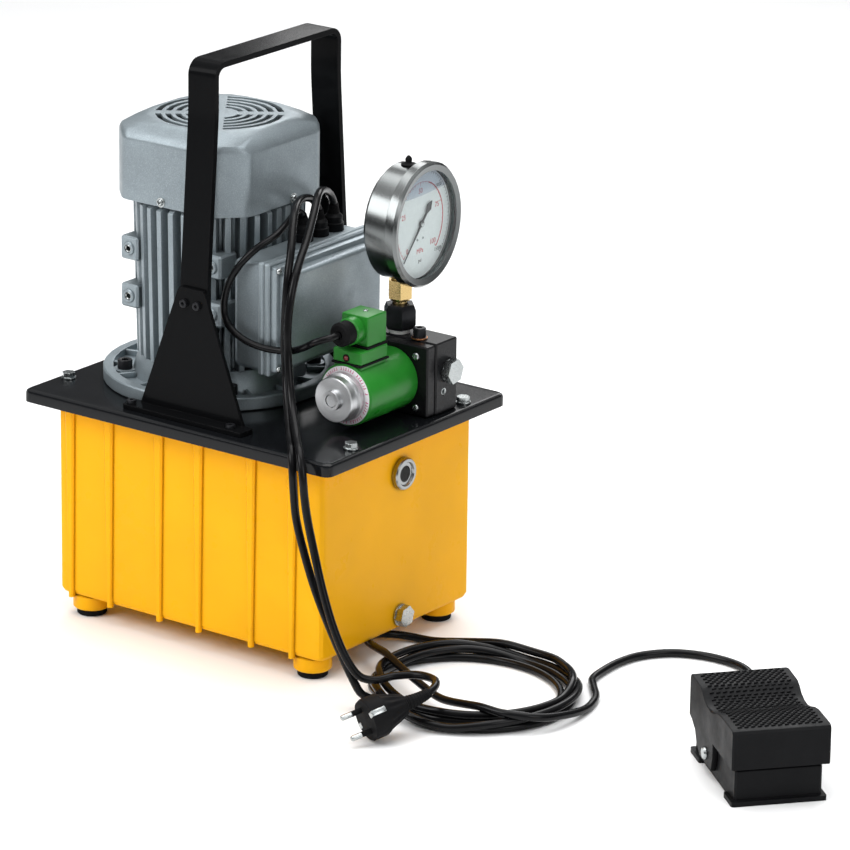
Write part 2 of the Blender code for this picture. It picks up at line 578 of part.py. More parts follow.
# ---------------------------------------------------------------- terminal box
box_y0 = MOTOR_Y - BOX_HALF_WIDTH
box_y1 = MOTOR_Y + BOX_HALF_WIDTH
terminal = node("terminal_box", box_mesh("terminal_box", BOX_BACK, BOX_FRONT, box_y0, box_y1, BOX_BOTTOM,
                                         BOX_TOP, 0.0050, 3), CAST)
fuse(terminal, box_mesh("box_rim", BOX_FRONT - 0.0060, BOX_FRONT, box_y0 - 0.0022, box_y1 + 0.0022,
                        BOX_BOTTOM - 0.0022, BOX_TOP + 0.0022, 0.0015, 1))
cut(terminal, box_mesh("box_inside", BOX_BACK + 0.0030, BOX_FRONT + 0.0200, box_y0 + 0.0060, box_y1 - 0.0060,
                       BOX_BOTTOM + 0.0060, BOX_TOP - 0.0060))
GLANDS = ((0.0300, 0.0140), (0.0300, 0.0360), (0.0300, 0.0570))
GLAND_HEIGHT = 0.0150
cut(terminal, joined(*[cylinder_mesh("gland_hole", 0.0062, BOX_TOP - 0.015, BOX_TOP + 0.01, 14, "Z", at)
                       for at in GLANDS]))
lid_y0 = MOTOR_Y - BOX_HALF_WIDTH + 0.0012
lid_y1 = MOTOR_Y + BOX_HALF_WIDTH - 0.0012
lid = node("terminal_box_lid", box_mesh("terminal_box_lid", BOX_FRONT + GAP, BOX_FRONT + 0.0062,
                                        box_y0 - 0.0022, box_y1 + 0.0022, BOX_BOTTOM - 0.0022,
                                        BOX_TOP + 0.0022, 0.0015, 1), CAST)
fuse(lid, box_mesh("lid_step", BOX_FRONT + 0.0020, BOX_FRONT + 0.0120, lid_y0, lid_y1, BOX_BOTTOM + 0.0010,
                   BOX_TOP - 0.0010, 0.0030, 2))
fuse(lid, box_mesh("lid_face", BOX_FRONT + 0.0060, LID_FRONT, lid_y0 + 0.0050, lid_y1 - 0.0050,
                   BOX_BOTTOM + 0.0060, BOX_TOP - 0.0060, 0.0040, 3))
cut(lid, box_mesh("lid_inside", BOX_FRONT - 0.0100, LID_FRONT - 0.0030, lid_y0 + 0.0090, lid_y1 - 0.0090,
                  BOX_BOTTOM + 0.0100, BOX_TOP - 0.0100))
number = 0
for gx, gy in GLANDS:
    number += 1
    node(f"cable_gland_{number}", turned_mesh("cable_gland", [
        (0.0037, -0.0100), (0.0058, -0.0100), (0.0058, GAP), (0.0092, GAP), (0.0092, 0.0070), (0.0080, 0.0075),
        (0.0080, 0.0125), (0.0060, GLAND_HEIGHT), (0.0037, GLAND_HEIGHT)], 14, "Z", True),
        PLASTIC, (gx, gy, BOX_TOP))

# ---------------------------------------------------------------- carrying handle
STRAP_CORNER = 0.0130
STRAP_FOOT = 0.2560


def arc(cy, cz, radius, start, stop, steps):
    return [(cy + radius * math.cos(start + (stop - start) * k / steps),
             cz + radius * math.sin(start + (stop - start) * k / steps)) for k in range(steps + 1)]


def strap_line(offset):
    """The line of the strap's face at this distance inside the outer face, from foot to foot."""
    left = [(-HANDLE_HALF_FOOT + offset, STRAP_FOOT), (-HANDLE_HALF_FOOT + offset, 0.3220),
            (-HANDLE_HALF_FOOT + 0.0004 + offset, 0.3320), (-HANDLE_HALF_TOP - 0.0006 + offset, 0.4640),
            (-HANDLE_HALF_TOP + offset, 0.4760)]
    bend = arc(-HANDLE_HALF_TOP + STRAP_CORNER, HANDLE_TOP - STRAP_CORNER, STRAP_CORNER - offset,
               math.pi, math.pi / 2, 6)
    half = left + bend
    return half + [(-y, z) for y, z in reversed(half)]


outline = strap_line(0.0) + list(reversed(strap_line(HANDLE_THICK)))
strap = node("handle_strap", prism_mesh("handle_strap", outline, -HANDLE_WIDTH / 2, HANDLE_WIDTH / 2, "X"),
             BLACK_GLOSS)
BRACKET_T = 0.0035


def bracket(name, side, foot_start, hole_x):
    """A triangular side plate with a flange along its foot."""
    inner = HANDLE_HALF_FOOT + GAP
    low = PLATE_TOP + GAP
    face = [(max(foot_start, -0.0560), low + 0.0020), (-0.0146, 0.3190), (-0.0122, 0.3220), (0.0122, 0.3220),
            (0.0146, 0.3190), (0.0560, low + 0.0020)]
    y0, y1 = sorted((side * inner, side * (inner + BRACKET_T)))
    obj = node(name, prism_mesh(name, face, y0, y1, "Y"), BLACK_GLOSS)
    y0, y1 = sorted((side * inner, side * (inner + 0.0175)))
    fuse(obj, prism_mesh("bracket_foot", rounded(rectangle(foot_start, 0.0650, y0, y1), 0.003, 3),
                         low, low + 0.0038))
    holes = [cylinder_mesh("hole", 0.0028, low - 0.003, low + 0.01, 14, "Z", (x, side * 0.1080))
             for x in hole_x]
    holes += [cylinder_mesh("hole", 0.0024, side * inner - 0.005, side * inner + 0.005, 12, "Y", (x, 0.3085))
              for x in (-0.0070, 0.0070)]
    cut(obj, joined(*holes))
    return obj


bracket("handle_bracket_front", -1, -0.0650, (-0.0600, 0.0480))
back_bracket = bracket("handle_bracket_back", 1, -0.0030, (0.0080, 0.0480))
cut(back_bracket, cylinder_mesh("flange_clear", MOTOR_FLANGE_RADIUS + 0.0008, 0.1950, 0.2250, 64, "Z",
                                (MOTOR_X, MOTOR_Y)))
cut(strap, joined(*[cylinder_mesh("hole", 0.0024, -0.1100, 0.1100, 12, "Y", (x, 0.3085))
                    for x in (-0.0070, 0.0070)]))

# ---------------------------------------------------------------- valve block
block = node("valve_block", box_mesh("valve_block", BLOCK_X0, BLOCK_X1, BLOCK_Y0 + GAP, BLOCK_Y1,
                                     PLATE_TOP + GAP, BLOCK_TOP, 0.0012, 1), BLOCK_BLACK)
valve_flange = node("valve_flange", box_mesh("valve_flange", BLOCK_X0 + 0.0010, BLOCK_X1 - 0.0010,
                                             COIL_BACK + GAP, BLOCK_Y0, PLATE_TOP + 0.0008, BLOCK_TOP - 0.0010,
                                             0.0012, 1), BLOCK_BLACK)
cut(valve_flange, cylinder_mesh("tube_hole", 0.0098, 0.0, 0.1, 28, "Y", (COIL_X, COIL_Z)))
cut(block, cylinder_mesh("spool_bore", 0.0062, BLOCK_Y0 - 0.01, BLOCK_Y1 - 0.0060, 24, "Y", (COIL_X, COIL_Z)))
STEM_X, STEM_Y = GAUGE_STEM
cut(block, cylinder_mesh("gauge_port", 0.0072, BLOCK_TOP - 0.0130, BLOCK_TOP + 0.01, 24, "Z", GAUGE_STEM))
PLUG_YZ = (0.0520, 0.2440)
cut(block, cylinder_mesh("outlet_port", 0.0068, BLOCK_X1 - 0.0120, BLOCK_X1 + 0.01, 24, "X", PLUG_YZ))
SET_YZ = (0.0460, 0.2262)
cut(block, cylinder_mesh("relief_port", 0.0034, BLOCK_X1 - 0.0060, BLOCK_X1 + 0.01, 18, "X", SET_YZ))
cut(block, cylinder_mesh("pressure_port", 0.0045, PLATE_TOP - 0.01, PLATE_TOP + 0.0120, 20, "Z", PIPE_AT))
TOP_PLUG = (0.1360, 0.0400)
cut(block, cylinder_mesh("top_port", 0.0048, BLOCK_TOP - 0.0100, BLOCK_TOP + 0.01, 20, "Z", TOP_PLUG))
port_plug = node("port_plug", turned_mesh("port_plug", [
    (0.0, -0.0100), (0.0063, -0.0100), (0.0063, GAP), (0.0100, GAP), (0.0100, 0.0016), (0.0, 0.0016)],
    18, "X"), ZINC, (BLOCK_X1, *PLUG_YZ))
fuse(port_plug, cylinder_mesh("plug_hex", 0.0112, 0.0010, 0.0085, 6, "X", (0.0, 0.0), math.radians(8)))
socket_plug = node("socket_plug", turned_mesh("socket_plug", [
    (0.0, -0.0080), (0.0044, -0.0080), (0.0044, GAP), (0.0066, GAP), (0.0066, 0.0014), (0.0056, 0.0016),
    (0.0056, 0.0092), (0.0050, 0.0098), (0.0, 0.0098)], 18), BLACK_STEEL, (*TOP_PLUG, BLOCK_TOP))
cut(socket_plug, cylinder_mesh("hex_socket", 0.0027, 0.0050, 0.0120, 6))

# ---------------------------------------------------------------- solenoid
coil_at = (COIL_X, 0.0, COIL_Z)
coil = node("solenoid_coil", turned_mesh("solenoid_coil", [
    (0.0102, COIL_FRONT), (COIL_RADIUS - 0.0012, COIL_FRONT), (COIL_RADIUS, COIL_FRONT + 0.0014),
    (COIL_RADIUS, COIL_BACK - 0.0010), (COIL_RADIUS - 0.0010, COIL_BACK), (0.0102, COIL_BACK)], 36, "Y", True),
    GREEN, coil_at)
BASE_X = (0.1053 - COIL_X, 0.1352 - COIL_X)
fuse(coil, box_mesh("coil_pad", BASE_X[0] + 0.001, BASE_X[1] - 0.001, -0.0405, -0.0048, 0.0150, 0.0275))
node("solenoid_tube", turned_mesh("solenoid_tube", [
    (0.0064, -0.0560), (0.0095, -0.0560), (0.0095, BLOCK_Y0), (0.0064, BLOCK_Y0)], 20, "Y", True),
    IRON, coil_at)
node("solenoid_end_nut", turned_mesh("solenoid_end_nut", [
    (0.0085, -0.0640), (0.0085, -0.0604), (0.0190, -0.0604), (0.0197, -0.0596), (0.0197, -0.0530),
    (0.0188, -0.0520), (0.0188, -0.0508), (0.0212, -0.0498), (0.0212, COIL_FRONT - 0.0014),
    (0.0099, COIL_FRONT - 0.0014), (0.0099, -0.0563), (0.0056, -0.0563), (0.0056, -0.0640)], 28, "Y", True),
    ALLOY, coil_at)
node("override_pin", turned_mesh("override_pin", [
    (0.0, -0.0632), (0.0052, -0.0632), (0.0052, -0.0443), (0.0, -0.0443)], 18, "Y"), ALLOY, coil_at)
node("plunger_spool", turned_mesh("plunger_spool", [
    (0.0, -0.0440), (0.0060, -0.0440), (0.0060, 0.0120), (0.0030, 0.0130), (0.0030, 0.0330), (0.0057, 0.0340),
    (0.0057, 0.0540), (0.0, 0.0540)], 14, "Y"), IRON, coil_at)

CONN_GASKET = 0.0278 + COIL_Z
node("connector_base", box_mesh("connector_base", 0.1053, 0.1352, -0.0415, -0.0038, CONN_GASKET,
                                       0.2772, 0.0010, 1), GREEN)
housing = node("connector_housing", box_mesh("connector_housing", 0.1057, 0.1337, -0.0303, -0.0037, 0.2792,
                                             0.3055, 0.0014, 2), GREEN)
GLAND_X, GLAND_Z = 0.1195, 0.2925
fuse(housing, turned_mesh("gland_collar", [
    (0.0, -0.0400), (0.0108, -0.0400), (0.0118, -0.0385), (0.0118, -0.0290), (0.0, -0.0290)], 22, "Y"),
    (GLAND_X, 0.0, GLAND_Z))
cut(housing, cylinder_mesh("gland_bore", 0.0092, -0.0500, -0.0240, 18, "Y", (GLAND_X, GLAND_Z)))
node("connector_gland", turned_mesh("connector_gland", [
    (0.0036, -0.0520), (0.0085, -0.0520), (0.0106, -0.0500), (0.0106, -0.0403), (0.0088, -0.0403),
    (0.0088, -0.0260), (0.0036, -0.0260)], 20, "Y", True), RUBBER, (GLAND_X, 0.0, GLAND_Z))

# ---------------------------------------------------------------- pressure gauge
case = node("gauge_case", turned_mesh("gauge_case", [
    (0.0, -0.0080), (0.0465, -0.0080), (GAUGE_RADIUS, -0.0045), (GAUGE_RADIUS, 0.0150),
    (BEZEL_RADIUS, 0.0175), (BEZEL_RADIUS, 0.0255), (0.0520, 0.0280), (0.0468, 0.0268), (0.0468, 0.0244),
    (0.0485, 0.0244), (0.0485, 0.0165), (0.0480, -0.0050), (0.0, -0.0050)], 40, "X"),
    STAINLESS, (0.0, 0.0, 0.0), GAUGE)
cut(case, cylinder_mesh("stem_hole", 0.0088, -0.0600, -0.0440, 16, "Z"))
cut(case, cylinder_mesh("vent_hole", 0.0042, 0.0400, 0.0600, 18, "Z", (0.0070, 0.0)))
dial = node("gauge_dial", cylinder_mesh("gauge_dial", 0.0476, 0.0180, 0.0192, 36, "X"), WHITE,
            (0.0, 0.0, 0.0), GAUGE)
cut(dial, cylinder_mesh("arbor_hole", 0.0012, 0.0100, 0.0300, 12, "X"))
node("gauge_lens", cylinder_mesh("gauge_lens", 0.0482, 0.0222, 0.0241, 36, "X"), GLASS, (0.0, 0.0, 0.0), GAUGE)
needle = node("gauge_needle", prism_mesh("gauge_needle", [
    (-0.0012, 0.0), (-0.0003, 0.0400), (0.0003, 0.0400), (0.0012, 0.0), (0.0012, -0.0110), (0.0038, -0.0170),
    (0.0, -0.0235), (-0.0038, -0.0170), (-0.0012, -0.0110)], 0.0204, 0.0210, "X"), BLACK_STEEL,
    (0.0, 0.0, 0.0), GAUGE)
needle.rotation_euler = (math.radians(136), 0.0, 0.0)
hub = turned_mesh("hub", [(0.0, 0.0110), (0.0009, 0.0110), (0.0009, 0.0200), (0.0030, 0.0200),
                          (0.0030, 0.0216), (0.0, 0.0216)], 14, "X")
fuse(needle, hub)
stem_at = (STEM_X, STEM_Y, 0.0)
stem = node("gauge_stem", turned_mesh("gauge_stem", [
    (0.0, 0.2590), (0.0062, 0.2590), (0.0062, 0.2990), (0.0086, 0.3000), (0.0098, 0.3030), (0.0060, 0.3035),
    (0.0060, 0.3180), (0.0080, 0.3190), (0.0080, 0.3243), (0.0, 0.3243)], 16), BRASS, stem_at)
fuse(stem, cylinder_mesh("stem_hex", 0.0113, 0.3022, 0.3185, 6, "Z", (0.0, 0.0), 0.15))
cut(stem, cylinder_mesh("stem_bore", 0.0020, 0.2500, 0.3400, 12))
nut = node("swivel_nut", turned_mesh("swivel_nut", [
    (0.0076, 0.2752), (0.0125, 0.2752), (0.0148, 0.2790), (0.0148, 0.2920), (0.0128, 0.2968),
    (0.0076, 0.2968)], 6, "Z", True), BLACK_STEEL, stem_at)
nut.rotation_euler = (0.0, 0.0, math.radians(14))

# ---------------------------------------------------------------- foot pedal
pedal_base = node("pedal_base", box_mesh("pedal_base", -PEDAL_HALF + 0.0035, PEDAL_HALF - 0.0035,
                                         0.0040, 0.1190, 0.0, 0.0300, 0.0015, 1),
                  PLASTIC, (0.0, 0.0, 0.0), PEDAL)
fuse(pedal_base, joined(
    prism_mesh("front_flange", rounded(rectangle(-PEDAL_HALF, PEDAL_HALF, 0.0, 0.0250), 0.0025, 2),
               0.0, 0.0040),
    prism_mesh("rear_flange", rounded(rectangle(-PEDAL_HALF, PEDAL_HALF, 0.0960, 0.1240), 0.0025, 2),
               0.0, 0.0040)))
cut(pedal_base, box_mesh("base_inside", -PEDAL_HALF + 0.0065, PEDAL_HALF - 0.0065, 0.0070, 0.1160, 0.0030,
                         0.0600))
PIVOT_Y, PIVOT_Z = PEDAL_PIVOT
fuse(pedal_base, joined(*[box_mesh("ear", side * 0.0315 - 0.0030, side * 0.0315 + 0.0030, PIVOT_Y - 0.009,
                                   PIVOT_Y + 0.009, 0.0020, 0.0270) for side in (-1, 1)]))
cut(pedal_base, cylinder_mesh("pivot_hole", 0.0029, -0.0600, 0.0600, 18, "X", PEDAL_PIVOT))
cut(pedal_base, cylinder_mesh("cord_hole", 0.0040, 0.1000, 0.1400, 20, "Y", (0.0, 0.0130)))

TREADLE_SIDE = [(-0.0020, 0.0325), (-0.0020, 0.0630), (-0.0006, 0.0652), (0.0030, 0.0660), (0.0330, 0.0660),
                (0.0420, 0.0646), (0.0520, 0.0612), (0.0620, 0.0590), (0.0740, 0.0592), (0.0830, 0.0618),
                (0.0890, 0.0660), (0.0950, 0.0685), (0.1200, 0.0690), (0.1238, 0.0678), (0.1250, 0.0650),
                (0.1250, 0.0330), (0.1180, 0.0310), (0.1080, 0.0255), (0.1030, 0.0170), (0.0920, 0.0085),
                (0.0580, 0.0085), (0.0540, 0.0200), (0.0540, 0.0325)]
TREADLE_HALF = 0.0411


def side_outline(points):
    return [(y - PIVOT_Y, z - PIVOT_Z) for y, z in points]


def treadle_block(name, half, points):
    rings = []
    for x, inset in ((-half, 0.0012), (-half + 0.0012, 0.0), (half - 0.0012, 0.0), (half, 0.0012)):
        ring = []
        centre = Vector((0.0620, 0.0440))
        for y, z in points:
            p = Vector((y, z))
            p = p + (centre - p).normalized() * inset
            ring.append((x, p.x - PIVOT_Y, p.y - PIVOT_Z))
        rings.append(ring)
    return loft_mesh(name, rings)


pivot_at = (0.0, PIVOT_Y, PIVOT_Z)
treadle = node("pedal_treadle", treadle_block("pedal_treadle", TREADLE_HALF, TREADLE_SIDE), PLASTIC, pivot_at,
               PEDAL)
inner = [(0.0010, -0.0200), (0.0010, 0.0625), (0.0330, 0.0630), (0.0520, 0.0580), (0.0740, 0.0560),
         (0.0830, 0.0590), (0.0900, 0.0640), (0.1215, 0.0655), (0.1215, -0.0200)]
cut(treadle, prism_mesh("treadle_inside", side_outline(inner), -TREADLE_HALF + 0.0042, TREADLE_HALF - 0.0042,
                        "X"))
cut(treadle, cylinder_mesh("pin_hole", 0.0029, -0.0600, 0.0600, 18, "X"))
node("pedal_pivot_pin", turned_mesh("pedal_pivot_pin", [
    (0.0, -0.0440), (0.0044, -0.0438), (0.0052, -0.0425), (0.0052, -0.0414), (0.0026, -0.0414),
    (0.0026, 0.0414), (0.0052, 0.0414), (0.0052, 0.0425), (0.0, 0.0430)], 16, "X"), ZINC, pivot_at, PEDAL)
SWITCH_Y = 0.0500
SWITCH_TOP = 0.0490
switch = node("pedal_switch", box_mesh("pedal_switch", -0.0100, 0.0100, SWITCH_Y - 0.0085, SWITCH_Y + 0.0085,
                                       0.0033, SWITCH_TOP, 0.0008, 1), PLASTIC, (0.0, 0.0, 0.0), PEDAL)
cut(switch, cylinder_mesh("plunger_hole", 0.0028, 0.0200, 0.0800, 16, "Z", (0.0, SWITCH_Y)))
node("switch_plunger", turned_mesh("switch_plunger", [
    (0.0, 0.0300), (0.0025, 0.0300), (0.0025, 0.0568), (0.0018, 0.0578), (0.0, 0.0578)], 20), RED,
    (0.0, SWITCH_Y, 0.0), PEDAL)

# ---------------------------------------------------------------- leads, plug and coil
GLAND_TOP = BOX_TOP + GLAND_HEIGHT + GAP
SOLENOID_LEAD = [
    (0.0300, 0.0140, GLAND_TOP), (0.0300, 0.0130, GLAND_TOP + 0.0070), (0.0330, 0.0040, 0.3725),
    (0.0400, -0.0130, 0.3735), (0.0455, -0.0300, 0.3705), (0.0475, -0.0480, 0.3650), (0.0400, -0.0640, 0.3560),
    (0.0285, -0.0735, 0.3400), (0.0190, -0.0755, 0.3215), (0.0152, -0.0755, 0.3022), (0.0200, -0.0755, 0.2880),
    (0.0350, -0.0745, 0.2783), (0.0545, -0.0710, 0.2735), (0.0755, -0.0660, 0.2735), (0.0930, -0.0680, 0.2800),
    (0.1080, -0.0700, 0.2885), (0.1175, -0.0625, 0.2922), (GLAND_X, -0.0523, GLAND_Z)]
tube("solenoid_lead", SOLENOID_LEAD, LEAD_DIAMETER, CABLE, 0.0125)

PEDAL_CORD_DROP = [
    (0.0300, 0.0360, GLAND_TOP), (0.0300, 0.0345, 0.3700), (0.0315, 0.0230, 0.3795), (0.0375, 0.0030, 0.3850),
    (0.0480, -0.0185, 0.3855), (0.0605, -0.0390, 0.3780), (0.0720, -0.0560, 0.3625), (0.0780, -0.0680, 0.3430),
    (0.0792, -0.0722, 0.3230), (0.0795, -0.0747, 0.2862), (0.0855, -0.0800, 0.2540), (0.0990, -0.0945, 0.2310),
    (0.1170, -0.1150, 0.2175), (0.1290, -0.1282, 0.2110), (0.1345, -0.1338, 0.1980), (0.1365, -0.1345, 0.1780),
    (0.1395, -0.1345, 0.1550), (0.1485, -0.1345, 0.1260), (0.1600, -0.1345, 0.0970), (0.1750, -0.1345, 0.0680),
    (0.1880, -0.1340, 0.0450), (0.1965, -0.1310, 0.0270), (0.2015, -0.1265, 0.0140), (0.2065, -0.1205, 0.0085)]
drop_path = tube("pedal_cord_drop", PEDAL_CORD_DROP, MAINS_DIAMETER, CABLE, 0.0165)

PLUG_FACE = Vector((0.2519, -0.1853, 0.0194))
PLUG_AIM = Vector((-0.388, -0.898, -0.205)).normalized()
PLUG_LENGTH = 0.0380
PIN_LENGTH = 0.0190
PIN_SPACING = 0.0190
PLUG_REAR = PLUG_FACE - PLUG_AIM * (PLUG_LENGTH + GAP)
MAINS_CORD = [
    (0.0300, 0.0570, GLAND_TOP), (0.0300, 0.0560, 0.3700), (0.0330, 0.0450, 0.3810), (0.0410, 0.0260, 0.3880),
    (0.0510, 0.0070, 0.3885), (0.0620, -0.0130, 0.3790), (0.0735, -0.0370, 0.3640), (0.0830, -0.0600, 0.3500),
    (0.0880, -0.0755, 0.3300), (0.0890, -0.0825, 0.3020), (0.0925, -0.0860, 0.2720), (0.1040, -0.0960, 0.2420),
    (0.1230, -0.1140, 0.2225), (0.1400, -0.1310, 0.2125), (0.1480, -0.1375, 0.1980), (0.1510, -0.1385, 0.1780),
    (0.1550, -0.1385, 0.1570), (0.1625, -0.1385, 0.1290), (0.1720, -0.1400, 0.1010), (0.1840, -0.1410, 0.0720),
    (0.1960, -0.1395, 0.0480), (0.2060, -0.1340, 0.0320), (0.2150, -0.1230, 0.0275), (0.2230, -0.1085, 0.0285),
    (0.2400, -0.0985, 0.0305), (0.2590, -0.1015, 0.0320), (0.2695, -0.1130, 0.0325), (0.2735, -0.1290, 0.0315),
    (0.2705, -0.1423, 0.0289), tuple(PLUG_REAR)]
tube("mains_cord", MAINS_CORD, MAINS_DIAMETER, CABLE, 0.0165)

pin_line = Vector((-0.640, 0.102, 0.761))
pin_line = (pin_line - PLUG_AIM * pin_line.dot(PLUG_AIM)).normalized()
plug_frame = Matrix((PLUG_AIM, pin_line, PLUG_AIM.cross(pin_line))).transposed().to_4x4()
plug_frame.translation = PLUG_FACE
plug_mesh = turned_mesh("mains_plug", [
    (0.0, -PLUG_LENGTH), (0.0080, -PLUG_LENGTH), (0.0105, -PLUG_LENGTH + 0.0030), (0.0150, -0.0210),
    (0.0182, -0.0150), (0.0185, -0.0015), (0.0172, 0.0), (0.0, 0.0)], 24, "X")
plug = node("mains_plug", plug_mesh, RUBBER)
pin_meshes = [moved(cylinder_mesh("pin", 0.0024, -0.0060, PIN_LENGTH, 12, "X"),
                    0.0, side * PIN_SPACING / 2, 0.0) for side in (-1, 1)]
fuse(plug, joined(*pin_meshes))
plug.matrix_local = plug_frame

COIL_AT = (0.2640, -0.0415)
COIL_REACH = (0.0980, 0.0955)
COIL_TOP = 0.0215


def oval(reach, centre, steps=48):
    return [(centre[0] + reach[0] * math.cos(2 * math.pi * i / steps),
             centre[1] + reach[1] * math.sin(2 * math.pi * i / steps)) for i in range(steps)]


def oval_ring(inset, z):
    return at_height(oval((COIL_REACH[0] - inset, COIL_REACH[1] - inset), COIL_AT), z)


coiled = node("pedal_cord_coil", loft_mesh("pedal_cord_coil", [
    oval_ring(0.0020, GAP), oval_ring(0.0, 0.0030), oval_ring(0.0, COIL_TOP - 0.0060),
    oval_ring(0.0060, COIL_TOP)]), CABLE)
cut(coiled, prism_mesh("coil_window", oval((0.0520, 0.0500), (0.2520, -0.0300), 40), -0.01, 0.05))
STRAY_LOOP = [(0.1950, 0.0300, 0.0), (0.1690, 0.0330, 0.0), (0.1380, 0.0260, 0.0), (0.1215, 0.0030, 0.0),
              (0.1300, -0.0230, 0.0), (0.1540, -0.0430, 0.0), (0.1860, -0.0620, 0.0)]
stray = smooth_path(STRAY_LOOP, 0.0090)


def ribbon(points, half):
    left = []
    right = []
    for i, p in enumerate(points):
        along = points[min(i + 1, len(points) - 1)] - points[max(i - 1, 0)]
        side = Vector((-along.y, along.x, 0.0)).normalized() * half
        left.append((p.x + side.x, p.y + side.y))
        right.append((p.x - side.x, p.y - side.y))
    return left + list(reversed(right))


fuse(coiled, prism_mesh("stray_loop", ribbon(stray, 0.0050), GAP, 0.0098))


def pocket(end, before):
    """A round recess in the coil's outside, where a lead runs into it."""
    mesh = cylinder_mesh("pocket", MAINS_DIAMETER / 2 + 2 * GAP, -0.0300, GAP, 24, "X")
    turn = (end - before).normalized().to_track_quat("X", "Z").to_matrix().to_4x4()
    turn.translation = end
    mesh.transform(turn)
    return mesh


PEDAL_DEPTH = Vector((-math.sin(PEDAL_TURN), math.cos(PEDAL_TURN), 0.0))
ENTRY_Z = 0.0130
pedal_entry = Vector((PEDAL_AT[0], PEDAL_AT[1], ENTRY_Z)) + PEDAL_DEPTH * (0.1190 + GAP)
CORD_Z = MAINS_DIAMETER / 2 + GAP
PEDAL_CORD_LEAD = [
    (0.3215, 0.0420, CORD_Z), (0.3175, 0.0620, CORD_Z), (0.3165, 0.0890, CORD_Z), (0.3225, 0.1140, CORD_Z),
    (0.3415, 0.1370, CORD_Z), (0.3720, 0.1480, CORD_Z), (0.4050, 0.1450, CORD_Z), (0.4300, 0.1250, CORD_Z),
    (0.4450, 0.0950, CORD_Z), (0.4560, 0.0620, 0.0042), (0.4700, 0.0350, 0.0070),
    tuple(pedal_entry + PEDAL_DEPTH * 0.0170 + Vector((0.0, 0.0, -0.0012))), tuple(pedal_entry)]
lead_path = tube("pedal_cord_lead", PEDAL_CORD_LEAD, MAINS_DIAMETER, CABLE, 0.0165)
cut(coiled, pocket(drop_path[-1], drop_path[-2]))
cut(coiled, pocket(lead_path[0], lead_path[1]))
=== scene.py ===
"""Looks of the hydraulic power unit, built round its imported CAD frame. Metres, +Z up."""
import json
import math

import bmesh
import bpy
from mathutils import Matrix, Vector
from mathutils.bvhtree import BVHTree
import numpy as np


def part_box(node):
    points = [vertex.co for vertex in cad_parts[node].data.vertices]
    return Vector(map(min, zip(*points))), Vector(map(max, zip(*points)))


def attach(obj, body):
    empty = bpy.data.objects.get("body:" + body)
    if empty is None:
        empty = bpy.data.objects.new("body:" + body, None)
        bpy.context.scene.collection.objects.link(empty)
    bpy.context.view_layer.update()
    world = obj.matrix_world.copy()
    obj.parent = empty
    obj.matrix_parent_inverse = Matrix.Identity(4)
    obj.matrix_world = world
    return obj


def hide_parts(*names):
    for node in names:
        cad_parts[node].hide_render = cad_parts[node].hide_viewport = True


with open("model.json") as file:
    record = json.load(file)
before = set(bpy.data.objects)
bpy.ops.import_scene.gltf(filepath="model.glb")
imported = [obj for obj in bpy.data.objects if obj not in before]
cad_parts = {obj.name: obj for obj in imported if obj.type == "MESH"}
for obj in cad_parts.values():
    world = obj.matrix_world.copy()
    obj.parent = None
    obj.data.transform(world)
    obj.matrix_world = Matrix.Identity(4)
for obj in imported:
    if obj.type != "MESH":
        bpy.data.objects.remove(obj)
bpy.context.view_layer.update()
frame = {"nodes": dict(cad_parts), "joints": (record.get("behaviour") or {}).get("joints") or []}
ROOT = "power_unit"
NODES = frame["nodes"]


# ---- places read from the frame
def middle(node):
    low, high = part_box(node)
    return (low + high) / 2


def joint(name):
    return next(j for j in frame["joints"] if j["name"] == name)


UNIT = Vector((middle("reservoir_tank").x, 0.0, 0.0))
PLATE_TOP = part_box("top_plate")[1].z
MOTOR = Vector((*middle("motor_flange").xy, 0.0))
COIL = Vector((middle("solenoid_end_nut").x, 0.0, middle("solenoid_end_nut").z))
LID_LOW, LID_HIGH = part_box("terminal_box_lid")
BLOCK_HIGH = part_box("valve_block")[1]
FLANGE_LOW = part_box("valve_flange")[0]
COVER_LOW, COVER_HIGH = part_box("fan_cover")
GLAND_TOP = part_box("cable_gland_2")[1].z
DOWN = Vector((0.0, 0.0, -1.0))
UP = Vector((0.0, 0.0, 1.0))
FRONT = Vector((0.0, -1.0, 0.0))
RIGHT = Vector((1.0, 0.0, 0.0))
ORIGIN = Matrix.Identity(4)


def tank(x, y, z):
    """A point given from the tank's centre line on the floor."""
    return UNIT + Vector((x, y, z))


def shift(x, y, z):
    return Matrix.Translation((x, y, z))


def axes(x, y, z, at=(0.0, 0.0, 0.0)):
    """A place with the given axes and origin."""
    place = Matrix((x, y, z)).transposed().to_4x4()
    place.translation = at
    return place


def polar(radius, angle):
    return radius * math.cos(angle), radius * math.sin(angle)


def new_object(name, data):
    obj = bpy.data.objects.new(name, data)
    bpy.context.scene.collection.objects.link(obj)
    return obj


# ---- materials
def tint(colour, share):
    return tuple(min(1.0, c * share) for c in colour)


